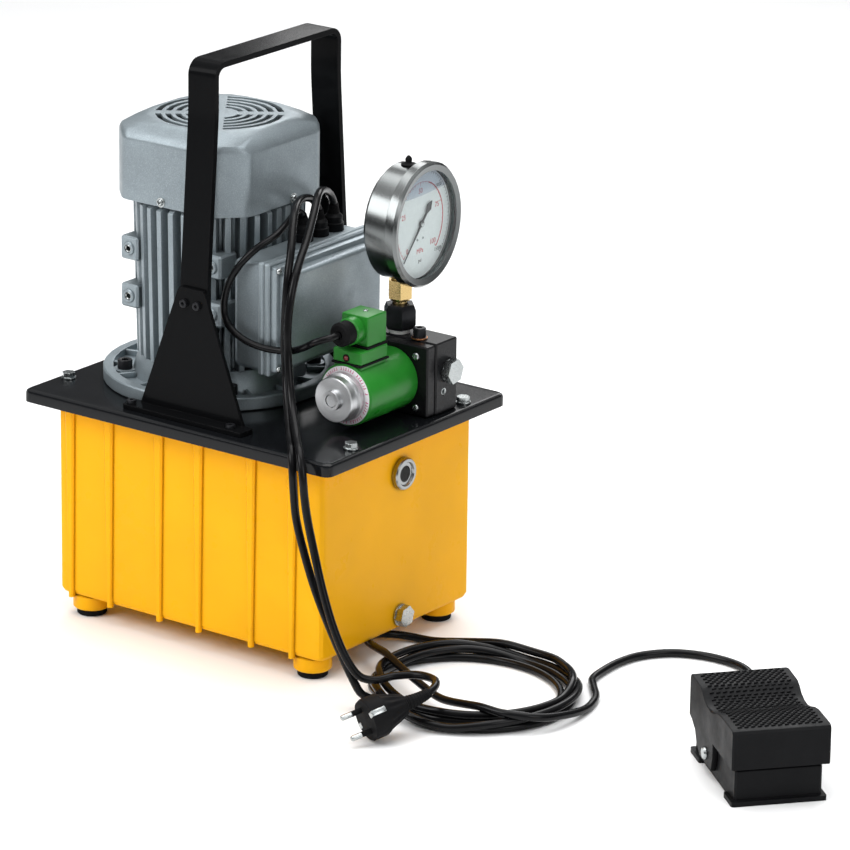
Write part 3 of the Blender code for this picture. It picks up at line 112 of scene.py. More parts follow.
class Shader:
    """A node tree under construction, on object coordinates in metres."""

    def __init__(self, name):
        self.mat = bpy.data.materials.new(name)
        self.mat.use_nodes = True
        self.tree = self.mat.node_tree
        self.bsdf = self.tree.nodes["Principled BSDF"]
        self.out = self.tree.nodes["Material Output"]
        self.coords = self.add("ShaderNodeTexCoord").outputs["Object"]

    def add(self, kind, values=(), **settings):
        """A new node with values on its input sockets and settings of its own."""
        node = self.tree.nodes.new(kind)
        for key, value in settings.items():
            setattr(node, key, value)
        for key, value in dict(values).items():
            node.inputs[key].default_value = value
        return node

    def link(self, a, b):
        self.tree.links.new(a, b)

    def mapped(self, scale, turn):
        node = self.add("ShaderNodeMapping", {"Scale": scale, "Rotation": turn})
        self.link(self.coords, node.inputs["Vector"])
        return node.outputs["Vector"]

    def noise(self, scale, detail=3.0, rough=0.55, vector=None):
        node = self.add("ShaderNodeTexNoise", {"Scale": scale, "Detail": detail, "Roughness": rough})
        self.link(vector or self.coords, node.inputs["Vector"])
        return node.outputs["Fac"]

    def ramp(self, fac, low, high, start=0.0, stop=1.0):
        node = self.add("ShaderNodeMapRange",
                        {"From Min": low, "From Max": high, "To Min": start, "To Max": stop})
        self.link(fac, node.inputs["Value"])
        return node.outputs["Result"]

    def math(self, kind, a, b):
        node = self.add("ShaderNodeMath", operation=kind)
        for socket, value in zip(node.inputs, (a, b)):
            if isinstance(value, (int, float)):
                socket.default_value = value
            else:
                self.link(value, socket)
        return node.outputs["Value"]

    def mix(self, fac, a, b):
        node = self.add("ShaderNodeMix", data_type="RGBA")
        sockets = [s for s in node.inputs if s.type == "RGBA"]
        self.link(fac, node.inputs["Factor"])
        for socket, value in zip(sockets, (a, b)):
            if isinstance(value, tuple):
                socket.default_value = (*value, 1.0)
            else:
                self.link(value, socket)
        return next(s for s in node.outputs if s.type == "RGBA")

    def vector(self, kind, a, b=None):
        """A vector operation on a socket and a second socket or a constant."""
        node = self.add("ShaderNodeVectorMath", operation=kind)
        self.link(a, node.inputs[0])
        if isinstance(b, bpy.types.NodeSocket):
            self.link(b, node.inputs[1])
        elif b is not None:
            node.inputs[1].default_value = b
        return node.outputs["Value" if kind in ("DOT_PRODUCT", "LENGTH") else "Vector"]

    def mottle(self, colour, scale, detail, dark, bright):
        """The colour drifting between a darker and a brighter tone of it."""
        drift = self.ramp(self.noise(scale, detail), 0.3, 0.7)
        return self.mix(drift, tint(colour, dark), tint(colour, bright))

    def over(self, base, where, share, colour):
        """A colour laid over the base, at most by the share, where the mask is high."""
        return self.mix(self.math("MULTIPLY", where, share), base, colour)

    def bevelled(self, radius):
        """The normal as if every edge had that radius."""
        return self.add("ShaderNodeBevel", {"Radius": radius}, samples=4).outputs["Normal"]

    def edges(self, radius):
        """0 on flat faces and about 1 along outer and inner edges, where wear and painted highlights are laid.
        """
        flat = self.add("ShaderNodeNewGeometry").outputs["Normal"]
        return self.ramp(self.vector("DOT_PRODUCT", self.bevelled(radius), flat), 0.995, 0.9)

    def open_air(self, distance, samples):
        """1 in the open and less in corners narrower than the distance."""
        return self.add("ShaderNodeAmbientOcclusion", {"Distance": distance}, samples=samples).outputs["AO"]

    def bump(self, height, strength, distance, edge=0.0):
        node = self.add("ShaderNodeBump", {"Strength": strength, "Distance": distance})
        self.link(height, node.inputs["Height"])
        if edge > 0:
            self.link(self.bevelled(edge), node.inputs["Normal"])
        return node.outputs["Normal"]

    def finish(self, colour, roughness, normal, **fixed):
        self.link(colour, self.bsdf.inputs["Base Color"])
        self.link(roughness, self.bsdf.inputs["Roughness"])
        self.link(normal, self.bsdf.inputs["Normal"])
        names = {"metallic": "Metallic", "coat": "Coat Weight", "coat_roughness": "Coat Roughness",
                 "specular": "Specular IOR Level"}
        for key, value in fixed.items():
            self.bsdf.inputs[names[key]].default_value = value
        return self.mat


def painted(name, colour, roughness, peel=0.15, edge=0.0006, worn=None, corners=0.0, **fixed):
    """Sprayed paint: slow tone changes, orange peel, edges where it is thin and, where asked, painted shade in
    the corners.
    """
    s = Shader(name)
    fine = s.noise(420.0, 2.0)
    spots = s.ramp(s.noise(160.0, 5.0, 0.7), 0.7, 0.8)
    base = s.over(s.mottle(colour, 9.0, 3.0, 0.93, 1.05), spots, 0.08, tint(colour, 0.62))
    rubbed = s.math("MULTIPLY", s.edges(edge * 1.6), s.ramp(s.noise(75.0, 4.0), 0.42, 0.62))
    base = s.over(base, rubbed, 0.55, worn or tint(colour, 1.35))
    # painted shade: the colour darkens where the open-air mask finds corners and recesses, such as the foot of
    # the tank's ribs
    if corners > 0:
        base = s.over(base, s.ramp(s.open_air(0.006, 6), 0.8, 0.45), corners, tint(colour, 0.3))
    rough = s.ramp(s.noise(24.0, 5.0, 0.65), 0.25, 0.75, roughness * 0.75, roughness * 1.3)
    return s.finish(base, rough, s.bump(fine, peel, 0.0004, edge), **fixed)


def cast(name, colour, roughness):
    """Aluminium casting under silver paint: fine sand texture, sparkle, painted shade in the corners and
    painted highlights along the edges.
    """
    s = Shader(name)
    grain = s.noise(1500.0, 2.0, 0.6)
    lumps = s.noise(160.0, 4.0, 0.6)
    base = s.mix(s.ramp(grain, 0.55, 0.75), s.mottle(colour, 14.0, 4.0, 0.86, 1.1), tint(colour, 1.45))
    base = s.over(base, s.ramp(grain, 0.45, 0.28), 0.5, tint(colour, 0.55))
    # painted shade: darker in corners and recesses, from the open-air mask
    base = s.over(base, s.ramp(s.open_air(0.012, 4), 0.75, 0.25), 0.55, tint(colour, 0.34))
    # painted highlight: lighter along every edge
    base = s.over(base, s.edges(0.0009), 0.45, tint(colour, 1.6))
    rough = s.ramp(s.noise(60.0, 4.0), 0.3, 0.7, roughness * 0.82, roughness * 1.25)
    height = s.math("ADD", s.math("MULTIPLY", grain, 0.45), lumps)
    return s.finish(base, rough, s.bump(height, 0.3, 0.0005, 0.0008), metallic=0.55)


def moulded(name, colour, roughness, texture=0.12, scale=700.0, **fixed):
    """Plastic or rubber with a fine eroded mould surface and painted highlights along its edges."""
    s = Shader(name)
    dust = s.ramp(s.noise(230.0, 6.0, 0.72), 0.58, 0.75)
    base = s.over(s.mottle(colour, 22.0, 4.0, 0.84, 1.18), dust, 0.16, tuple(c * 0.8 + 0.018 for c in colour))
    # painted highlight: lighter along every edge
    base = s.over(base, s.edges(0.0006), 0.35, tuple(c * 1.4 + 0.009 for c in colour))
    rough = s.ramp(s.noise(45.0, 5.0, 0.6), 0.25, 0.75, roughness * 0.8, roughness * 1.25)
    return s.finish(base, rough, s.bump(s.noise(scale, 3.0, 0.6), texture, 0.0003, 0.0005), **fixed)


def plated(name, colour, roughness, metallic=1.0, scratch=0.12, cloud=0.1, **fixed):
    """Plated or oiled metal: cloudy tone, fine scratches and painted highlights along the edges."""
    s = Shader(name)
    stain = s.ramp(s.noise(420.0, 5.0, 0.7), 0.62, 0.78)
    base = s.over(s.mottle(colour, 130.0, 4.0, 1 - cloud, 1 + cloud), stain, 0.12, tint(colour, 0.5))
    # painted highlight: lighter along every edge
    base = s.over(base, s.edges(0.0005), 0.25, tint(colour, 1.35))
    lines = s.noise(1.0, 3.0, 0.6, s.mapped((3200.0, 420.0, 380.0), (0.3, 0.5, 0.8)))
    rough = s.ramp(lines, 0.2, 0.8, roughness * 0.65, roughness * 1.4)
    return s.finish(base, rough, s.bump(lines, scratch, 0.0002, 0.0004), metallic=metallic, **fixed)


def turned_metal(name, colour, roughness, centre, axis, rings=1900.0, contrast=0.16, relief=0.12):
    """Metal cut or brushed round an axis: streaks follow the rings on its face and sides."""
    s = Shader(name)
    offset = s.vector("SUBTRACT", s.coords, centre)
    along = s.vector("DOT_PRODUCT", offset, axis)
    radius = s.vector("LENGTH", s.vector("CROSS_PRODUCT", offset, axis))
    place = s.add("ShaderNodeCombineXYZ")
    for socket, value, scale in zip(place.inputs, (along, radius, s.noise(14.0, 2.0)), (rings, rings, 0.15)):
        s.link(s.math("MULTIPLY", value, scale), socket)
    lines = s.noise(1.0, 4.0, 0.65, place.outputs["Vector"])
    base = s.mix(s.ramp(lines, 0.25, 0.75), tint(colour, 1 - contrast), tint(colour, 1 + contrast))
    # painted highlight: lighter along every edge
    base = s.over(base, s.edges(0.0005), 0.4, tint(colour, 1.3))
    rough = s.ramp(lines, 0.2, 0.8, roughness * 0.7, roughness * 1.35)
    return s.finish(base, rough, s.bump(lines, relief, 0.0002, 0.0004), metallic=1.0)


def cable_jacket(name, colour, roughness):
    """Extruded PVC: faint lengthwise drag, dust and soft gloss."""
    s = Shader(name)
    dust = s.ramp(s.noise(520.0, 5.0, 0.7), 0.62, 0.74)
    base = s.over(s.mottle(colour, 55.0, 4.0, 0.8, 1.4), dust, 0.12, (0.045, 0.045, 0.045))
    rough = s.ramp(s.noise(95.0, 5.0, 0.6), 0.25, 0.75, roughness * 0.75, roughness * 1.3)
    return s.finish(base, rough, s.bump(s.noise(240.0, 3.0), 0.05, 0.0003), specular=0.14)


def printed(name, colour, roughness=0.5):
    """Printed or enamelled sheet with a slight mottle."""
    s = Shader(name)
    rough = s.ramp(s.noise(120.0, 3.0), 0.3, 0.7, roughness * 0.85, roughness * 1.15)
    return s.finish(s.mottle(colour, 260.0, 4.0, 0.95, 1.03), rough, s.bump(s.noise(900.0, 2.0), 0.05, 0.0002))


def clear(name, tone, strength=1.0):
    """Thin glass: see-through with a Fresnel reflection, faint smears in its gloss."""
    s = Shader(name)
    s.tree.nodes.remove(s.bsdf)
    see = s.add("ShaderNodeBsdfTransparent", {"Color": (*tone, 1.0)})
    shine = s.add("ShaderNodeBsdfGlossy")
    s.link(s.ramp(s.noise(40.0, 4.0), 0.3, 0.7, 0.02, 0.07), shine.inputs["Roughness"])
    fresnel = s.add("ShaderNodeFresnel")
    fresnel.inputs["IOR"].default_value = 1.45
    outside = s.math("SUBTRACT", 1.0, s.add("ShaderNodeNewGeometry").outputs["Backfacing"])
    share = s.math("MULTIPLY", s.math("MULTIPLY", fresnel.outputs["Fac"], strength), outside)
    blend = s.add("ShaderNodeMixShader")
    s.link(share, blend.inputs["Fac"])
    s.link(see.outputs[0], blend.inputs[1])
    s.link(shine.outputs[0], blend.inputs[2])
    s.link(blend.outputs[0], s.out.inputs["Surface"])
    return s.mat


NEEDLE = joint("gauge_needle_turn")
GAUGE_AXIS = -Vector(NEEDLE["axis"]).normalized()
GAUGE_SIDE = UP.cross(GAUGE_AXIS)
GAUGE_CENTRE = middle("gauge_lens")
GAUGE_FACE = max(GAUGE_AXIS.dot(v.co) for v in NODES["gauge_dial"].data.vertices)
GAUGE_CENTRE = GAUGE_CENTRE + GAUGE_AXIS * (GAUGE_FACE - GAUGE_AXIS.dot(GAUGE_CENTRE))

# corners sets how much painted shade is laid in the tank's corners and along its rib bases
YELLOW = painted("yellow_paint", (0.92, 0.445, 0.006), 0.3, 0.06, corners=0.7,
                 specular=0.08, coat=0.02, coat_roughness=0.12)
BLACK_GLOSS = painted("black_gloss_paint", (0.0045, 0.0047, 0.0052), 0.17, 0.08, worn=(0.02, 0.02, 0.02),
                      specular=0.03, coat=0.02, coat_roughness=0.06)
PLATE_GLOSS = painted("black_plate_paint", (0.005, 0.0056, 0.0066), 0.2, 0.06, worn=(0.03, 0.03, 0.03),
                      specular=0.16, coat=0.1, coat_roughness=0.08)
CAST = cast("silver_painted_casting", (0.265, 0.31, 0.335), 0.38)
GREEN = moulded("green_plastic", (0.015, 0.175, 0.017), 0.32, 0.06, specular=0.22, coat=0.08,
                coat_roughness=0.2)
PLASTIC = moulded("black_plastic", (0.0065, 0.0067, 0.0075), 0.44, 0.16, 500.0, specular=0.08)
RUBBER = moulded("black_rubber", (0.0065, 0.0065, 0.007), 0.66, 0.2, 380.0, specular=0.08)
CABLE = cable_jacket("cable_jacket", (0.0045, 0.0045, 0.005), 0.2)
BLOCK_BLACK = plated("black_anodised_block", (0.0075, 0.0075, 0.0085), 0.32, 0.05, 0.08, 0.2, specular=0.2)
BLACK_STEEL = plated("black_oxide_steel", (0.014, 0.0145, 0.017), 0.34, 0.45, 0.12, 0.2, specular=0.25)
ZINC = plated("zinc_plate", (0.43, 0.455, 0.455), 0.25, 1.0, 0.04, 0.05)
IRON = plated("machined_iron", (0.33, 0.33, 0.34), 0.36)
COPPER = plated("copper_winding", (0.62, 0.27, 0.12), 0.38)
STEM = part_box("gauge_stem")
BRASS = turned_metal("turned_brass", (0.64, 0.46, 0.2), 0.26, (STEM[0] + STEM[1]) / 2, UP, 900.0, 0.07, 0.03)
ALLOY = turned_metal("turned_aluminium", (0.58, 0.59, 0.6), 0.34, COIL, FRONT)
SIGHT_ALLOY = turned_metal("turned_sight_ring", (0.33, 0.34, 0.34), 0.24, middle("sight_glass_ring"), RIGHT)
STAINLESS = turned_metal("brushed_stainless", (0.175, 0.185, 0.185), 0.22, GAUGE_CENTRE, GAUGE_AXIS, 2300.0,
                         0.05, 0.015)
DIAL_WHITE = printed("dial_white", (0.8, 0.83, 0.83))
LABEL_WHITE = printed("label_white", (0.82, 0.8, 0.82))
INK_BLACK = printed("ink_black", (0.018, 0.018, 0.02))
INK_RED = printed("ink_red", (0.52, 0.012, 0.03))
INK_MAGENTA = printed("ink_magenta", (0.55, 0.05, 0.2))
PTFE = moulded("white_ptfe", (0.8, 0.8, 0.78), 0.42, 0.05)
RED_LED = moulded("red_indicator", (0.17, 0.005, 0.008), 0.22, 0.02, coat=0.5, coat_roughness=0.05)
RED_PLASTIC = moulded("red_plastic", (0.4, 0.015, 0.015), 0.38)
GLASS = clear("gauge_glass", (0.93, 0.95, 0.95), 1.0)
SIGHT_DARK = clear("sight_glass", (0.42, 0.36, 0.26), 0.5)
GLYCERINE = clear("glycerine_edge", (0.86, 0.88, 0.92), 0.4)

FINISHES = {
    "reservoir_tank": YELLOW, "rubber_foot": RUBBER, "sight_glass_ring": SIGHT_ALLOY, "sight_glass": SIGHT_DARK,
    "drain_plug": ZINC, "plate_gasket": RUBBER, "top_plate": PLATE_GLOSS, "plate_bolt": ZINC,
    "motor_flange": CAST, "motor_frame": CAST, "fan_cover": CAST, "rotor_shaft": IRON,
    "stator_winding": COPPER, "cooling_fan": PLASTIC, "pump_body": IRON, "suction_strainer": BRASS,
    "pressure_pipe": IRON, "terminal_box": CAST, "terminal_box_lid": CAST, "cable_gland": PLASTIC,
    "handle_strap": BLACK_GLOSS, "handle_bracket": BLACK_GLOSS, "valve_block": BLOCK_BLACK,
    "valve_flange": BLOCK_BLACK, "port_plug": ZINC, "socket_plug": BLACK_STEEL, "solenoid_coil": GREEN,
    "solenoid_tube": IRON, "solenoid_end_nut": ALLOY, "override_pin": ALLOY, "plunger_spool": IRON,
    "connector_base": GREEN, "connector_housing": GREEN, "connector_gland": RUBBER, "gauge_case": STAINLESS,
    "gauge_dial": DIAL_WHITE, "gauge_lens": GLASS, "gauge_needle": INK_BLACK, "gauge_stem": BRASS,
    "swivel_nut": BLACK_STEEL, "pedal_base": PLASTIC, "pedal_treadle": PLASTIC, "pedal_pivot_pin": ZINC,
    "pedal_switch": PLASTIC, "switch_plunger": RED_PLASTIC,
}
SMOOTH_ANGLE = math.radians(32)


def dress(obj):
    """A CAD node's finish, with smooth shading split at its hard edges."""
    stem = obj.name.rstrip("0123456789").rstrip("_")
    finish = FINISHES.get(obj.name) or FINISHES.get(stem) or FINISHES.get(stem.rsplit("_", 1)[0])
    if finish is None:
        return
    obj.data.materials.clear()
    obj.data.materials.append(finish)
    normals = obj.data.attributes.get("custom_normal")
    if normals is not None:
        obj.data.attributes.remove(normals)
    obj.data.polygons.foreach_set("use_smooth", [True] * len(obj.data.polygons))
    weld = obj.modifiers.new("weld", "WELD")
    weld.merge_threshold = 0.00001
    split = obj.modifiers.new("hard_edges", "EDGE_SPLIT")
    split.split_angle = SMOOTH_ANGLE
    even = obj.modifiers.new("flat_faces_stay_flat", "WEIGHTED_NORMAL")
    even.keep_sharp = True
    even.weight = 90


for node in NODES.values():
    dress(node)


# ---- mesh helpers
def facing(axis):
    """A rotation whose Z looks along axis, and whose X is level."""
    z = Vector(axis).normalized()
    x = (UP if abs(z.z) < 0.9 else RIGHT).cross(z).normalized()
    return axes(x, z.cross(x), z)


def placed(at, axis=UP):
    return Matrix.Translation(at) @ facing(axis)


def piece(name, bm, place, mat, body=ROOT, slot=None, angle=35.0):
    """The mesh as a piece of the object, on its body."""
    bmesh.ops.recalc_face_normals(bm, faces=bm.faces)
    mesh = bpy.data.meshes.new(name)
    bm.to_mesh(mesh)
    bm.free()
    mesh.shade_smooth()
    mesh.set_sharp_from_angle(angle=math.radians(angle))
    mesh.materials.append(mat)
    obj = new_object(name, mesh)
    obj.matrix_world = place
    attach(obj, body)
    return obj


def add_turned(bm, profile, place, steps, closed):
    """A profile of (radius, height) spun about Z and set at a place."""
    verts = [bm.verts.new((r, 0.0, h)) for r, h in profile]
    edges = [bm.edges.new(pair) for pair in zip(verts, verts[1:])]
    if closed:
        edges.append(bm.edges.new((verts[-1], verts[0])))
    before = set(bm.verts) - set(verts)
    bmesh.ops.spin(bm, geom=verts + edges, cent=(0, 0, 0), axis=(0, 0, 1), angle=2 * math.pi,
                   steps=steps, use_merge=True)
    made = [v for v in bm.verts if v not in before]
    bmesh.ops.remove_doubles(bm, verts=made, dist=1e-7)
    made = [v for v in bm.verts if v not in before]
    bmesh.ops.transform(bm, matrix=place, verts=made)


def turned(name, profile, place, mat, steps=32, closed=False, **more):
    bm = bmesh.new()
    add_turned(bm, profile, ORIGIN, steps, closed)
    return piece(name, bm, place, mat, **more)


def turned_row(name, profile, places, mat, slot, steps=24, closed=False, place=ORIGIN):
    """One piece made of the same turned shape at each of the places."""
    bm = bmesh.new()
    for each in places:
        add_turned(bm, profile, each, steps, closed)
    return piece(name, bm, place, mat, ROOT, slot)


def add_block(bm, size, place, bevel=0.0, segments=2):
    made = bmesh.ops.create_cube(bm, size=1.0)["verts"]
    bmesh.ops.scale(bm, vec=size, verts=made)
    if bevel > 0:
        edges = list({e for v in made for e in v.link_edges})
        made = bmesh.ops.bevel(bm, geom=edges, offset=bevel, segments=segments, profile=0.5,
                               affect="EDGES", clamp_overlap=True)["verts"]
        made = list({v for rim in made for f in rim.link_faces for v in f.verts})
    bmesh.ops.transform(bm, matrix=place, verts=made)


def polar_ring(bm, reach, height, steps):
    """A ring of vertices whose radius at each angle comes from reach."""
    angles = [2 * math.pi * i / steps for i in range(steps)]
    return [bm.verts.new((*polar(reach(angle), angle), height)) for angle in angles]


def skin(bm, rings):
    """Faces from ring to ring of vertices, and a cap at each end."""
    for low, high in zip(rings, rings[1:]):
        for i in range(len(low)):
            j = (i + 1) % len(low)
            bm.faces.new((low[i], low[j], high[j], high[i]))
    bm.faces.new(list(reversed(rings[0])))
    bm.faces.new(rings[-1])


def add_rings(bm, sections, place, steps=48):
    """A closed skin through polar sections given as (reach, height)."""
    start = len(bm.verts)
    skin(bm, [polar_ring(bm, reach, height, steps) for reach, height in sections])
    bm.verts.ensure_lookup_table()
    bmesh.ops.transform(bm, matrix=place, verts=bm.verts[start:])


def round_of(radius):
    return lambda angle: radius


def hex_of(flat):
    """A hexagon by its distance across flats."""
    return lambda angle: flat / 2 / math.cos((angle + math.pi / 6) % (math.pi / 3) - math.pi / 6)


def cross_of(reach, width):
    """A Phillips cross."""
    def radius(angle):
        c, s = max(abs(math.cos(angle)), 1e-6), max(abs(math.sin(angle)), 1e-6)
        return max(min(reach / c, width / s), min(reach / s, width / c))
    return radius


def socket_screw(bm, place, radius, height, key):
    """A cylinder head with a hexagon socket, standing on the place's origin."""
    add_rings(bm, [(round_of(radius), 0.0), (round_of(radius), height * 0.93),
                   (round_of(radius * 0.93), height), (round_of(radius * 0.7), height),
                   (hex_of(key), height * 0.97), (hex_of(key), height * 0.45)], place)


def pan_screw(bm, place, radius, height, washer=0.0):
    """A domed Phillips head, over a washer where one is asked for."""
    low = 0.0
    sections = []
    if washer > 0:
        sections = [(round_of(washer), 0.0), (round_of(washer), 0.0008)]
        low = 0.0008
    sections += [(round_of(radius), low), (round_of(radius), low + height * 0.35),
                 (round_of(radius * 0.86), low + height * 0.78), (round_of(radius * 0.7), low + height * 0.97),
                 (cross_of(radius * 0.58, radius * 0.15), low + height),
                 (cross_of(radius * 0.5, radius * 0.11), low + height * 0.35)]
    add_rings(bm, sections, place)


def screws(name, maker, places, mat, slot, body=ROOT, **sizes):
    bm = bmesh.new()
    for place in places:
        maker(bm, place, **sizes)
    return piece(name, bm, ORIGIN, mat, body, slot, 40.0)


# ---- camera
AZIMUTH = math.radians(36.263)
ELEVATION = math.radians(18.391)
ROLL = 0.01317
DISTANCE = 4.48762
TARGET = tank(0.15301, 0.02641, 0.2)
LENS = 222.87
toward = Vector((math.sin(AZIMUTH) * math.cos(ELEVATION), -math.cos(AZIMUTH) * math.cos(ELEVATION),
                 math.sin(ELEVATION)))
level = Vector((math.cos(AZIMUTH), math.sin(AZIMUTH), 0.0))
tall = toward.cross(level)
across = level * math.cos(ROLL) + tall * math.sin(ROLL)
above = tall * math.cos(ROLL) - level * math.sin(ROLL)
lens = bpy.data.cameras.new("camera")
lens.lens = LENS
lens.sensor_width = 36.0
lens.clip_end = 60.0
camera = new_object("camera", lens)
camera.matrix_world = axes(across, above, toward, TARGET + toward * DISTANCE)
bpy.context.scene.camera = camera


# ---- cords
CORD_DIAMETER = 0.007
LEAD_DIAMETER = 0.0062
GAP = 0.0003
GLAND_X = 0.1195
GLAND_Z = 0.2925
SOLENOID_LEAD = [
    (0.03, 0.014, GLAND_TOP), (0.03, 0.013, GLAND_TOP + 0.007), (0.033, 0.004, 0.3725),
    (0.04, -0.013, 0.3735), (0.0455, -0.03, 0.3705), (0.0475, -0.048, 0.365), (0.04, -0.064, 0.356),
    (0.0285, -0.0735, 0.34), (0.019, -0.0755, 0.3215), (0.0152, -0.0755, 0.3022), (0.02, -0.0755, 0.288),
    (0.035, -0.0745, 0.2783), (0.0545, -0.071, 0.2735), (0.0755, -0.066, 0.2735), (0.093, -0.068, 0.28),
    (0.108, -0.07, 0.2885), (0.1175, -0.0625, 0.2922), (GLAND_X, -0.0523, GLAND_Z)]
PEDAL_CORD_DROP = [
    (0.03, 0.036, GLAND_TOP), (0.03, 0.0345, 0.37), (0.0315, 0.023, 0.3795), (0.0375, 0.003, 0.385),
    (0.048, -0.0185, 0.3855), (0.0605, -0.039, 0.378), (0.072, -0.056, 0.3625), (0.078, -0.068, 0.343),
    (0.0792, -0.0722, 0.323), (0.0795, -0.0747, 0.2862), (0.0855, -0.08, 0.254), (0.099, -0.0945, 0.231),
    (0.117, -0.115, 0.2175), (0.129, -0.1282, 0.211), (0.1345, -0.1338, 0.198), (0.1365, -0.1345, 0.178),
    (0.1395, -0.1345, 0.155), (0.1485, -0.1345, 0.126), (0.16, -0.1345, 0.097), (0.175, -0.1345, 0.068),
    (0.188, -0.134, 0.045), (0.1965, -0.131, 0.027), (0.2015, -0.1265, 0.014), (0.2065, -0.1205, 0.0085)]
PLUG_FACE = tank(0.2519, -0.1853, 0.0194)
PLUG_AIM = Vector((-0.388, -0.898, -0.205)).normalized()
PIN_LINE = Vector((-0.64, 0.102, 0.761))
PIN_LINE = (PIN_LINE - PLUG_AIM * PIN_LINE.dot(PLUG_AIM)).normalized()
PLUG_PLACE = axes(PIN_LINE, PLUG_AIM.cross(PIN_LINE), PLUG_AIM, PLUG_FACE)
PLUG_LENGTH = 0.038
PLUG_REAR = PLUG_FACE - PLUG_AIM * (PLUG_LENGTH + GAP) - UNIT
MAINS_CORD = [
    (0.03, 0.057, GLAND_TOP), (0.03, 0.056, 0.37), (0.033, 0.045, 0.381), (0.041, 0.026, 0.388),
    (0.051, 0.007, 0.3885), (0.062, -0.013, 0.379), (0.0735, -0.037, 0.364), (0.083, -0.06, 0.35),
    (0.088, -0.0755, 0.33), (0.089, -0.0825, 0.302), (0.0925, -0.086, 0.272), (0.104, -0.096, 0.242),
    (0.123, -0.114, 0.2225), (0.14, -0.131, 0.2125), (0.148, -0.1375, 0.198), (0.151, -0.1385, 0.178),
    (0.155, -0.1385, 0.157), (0.1625, -0.1385, 0.129), (0.172, -0.14, 0.101), (0.184, -0.141, 0.072),
    (0.196, -0.1395, 0.048), (0.206, -0.134, 0.032), (0.215, -0.123, 0.0275), (0.223, -0.1085, 0.0285),
    (0.24, -0.0985, 0.0305), (0.259, -0.1015, 0.032), (0.2695, -0.113, 0.0325), (0.2735, -0.129, 0.0315),
    (0.2705, -0.1423, 0.0289), tuple(PLUG_REAR)]
CORD_Z = CORD_DIAMETER / 2 + GAP
PIVOT = joint("pedal_press")
PEDAL_ACROSS = Vector(PIVOT["axis"]).normalized()
PEDAL_DEPTH = UP.cross(PEDAL_ACROSS)
PEDAL_CENTRE = middle("pedal_switch")
BASE_DEPTH = max(PEDAL_DEPTH.dot(v.co) for v in NODES["pedal_base"].data.vertices if v.co.z > 0.01)
PEDAL_ENTRY = PEDAL_CENTRE + PEDAL_DEPTH * (BASE_DEPTH + GAP - PEDAL_DEPTH.dot(PEDAL_CENTRE))
PEDAL_ENTRY = Vector((*PEDAL_ENTRY.xy, 0.013)) - UNIT
PEDAL_CORD_LEAD = [
    (0.3215, 0.042, CORD_Z), (0.3175, 0.062, CORD_Z), (0.3165, 0.089, CORD_Z), (0.3225, 0.114, CORD_Z),
    (0.3415, 0.137, CORD_Z), (0.372, 0.148, CORD_Z), (0.405, 0.145, CORD_Z), (0.43, 0.125, CORD_Z),
    (0.445, 0.095, CORD_Z), (0.456, 0.062, 0.0042), (0.47, 0.035, 0.007),
    tuple(PEDAL_ENTRY + PEDAL_DEPTH * 0.017 + DOWN * 0.0012), tuple(PEDAL_ENTRY)]


def smooth_path(points, spacing):
    """Evenly spaced points on a Catmull-Rom curve through the given points."""
    pts = [Vector(p) for p in points]
    pts = [pts[0] * 2 - pts[1]] + pts + [pts[-1] * 2 - pts[-2]]
    dense = []
    for i in range(1, len(pts) - 2):
        a, b, c, d = pts[i - 1], pts[i], pts[i + 1], pts[i + 2]
        for k in range(24):
            t = k / 24
            dense.append(0.5 * (2 * b + (c - a) * t + (2 * a - 5 * b + 4 * c - d) * t * t
                                + (3 * b - a - 3 * c + d) * t ** 3))
    dense.append(pts[-2])
    total = sum((q - p).length for p, q in zip(dense, dense[1:]))
    count = max(4, round(total / spacing))
    step = total / count
    out = [dense[0]]
    walked = 0.0
    for p, q in zip(dense, dense[1:]):
        span = (q - p).length
        while walked + span >= step * len(out) - 1e-9 and len(out) < count:
            out.append(p + (q - p) * ((step * len(out) - walked) / span))
        walked += span
    out.append(dense[-1])
    return out


# The coil's turns: centre x, y and reach x, y of each, from the first laid to the last.
TURNS = [(0.248, -0.044, 0.084, 0.072), (0.26, -0.048, 0.086, 0.08),
         (0.263, -0.045, 0.085, 0.09), (0.256, -0.034, 0.083, 0.082),
         (0.24, -0.019, 0.078, 0.076)]
COIL_START = math.radians(268)
TURN_STEPS = 24
STRAY_LOOP = [(0.242, 0.047), (0.208, 0.04), (0.173, 0.033), (0.14, 0.0245), (0.1235, 0.003),
              (0.131, -0.023), (0.154, -0.043), (0.186, -0.062), (0.22, -0.076), (0.26, -0.089),
              (0.3, -0.096), (0.333, -0.095), (0.353, -0.078), (0.359, -0.048), (0.357, -0.018),
              (0.348, 0.008), (0.333, 0.027)]


def coil_plan():
    """The coil's line seen from above: ovals that drift from one to the next, then the stray loop."""
    line = [(0.216, -0.1145), (0.227, -0.111)]
    whole = (len(TURNS) - 1) * TURN_STEPS
    last = whole - TURN_STEPS // 2 - 1
    for k in range(last):
        share = k / TURN_STEPS
        turn = int(share)
        rest = share - turn
        rest = rest * rest * (3 - 2 * rest)
        cx, cy, rx, ry = [a + (b - a) * rest for a, b in zip(TURNS[turn], TURNS[turn + 1])]
        angle = COIL_START + 2 * math.pi * (k + 1) / TURN_STEPS
        line.append((cx + rx * math.cos(angle), cy + ry * math.sin(angle)))
    return line + STRAY_LOOP


NEIGHBOUR_REACH = 3.2   # in diameters: a stretch this near along the cord isn't a crossing
HUMP_ROUNDING = 1.1     # in diameters
HUMP_SLOPE = 0.16
SETTLE_ROUNDS = 60


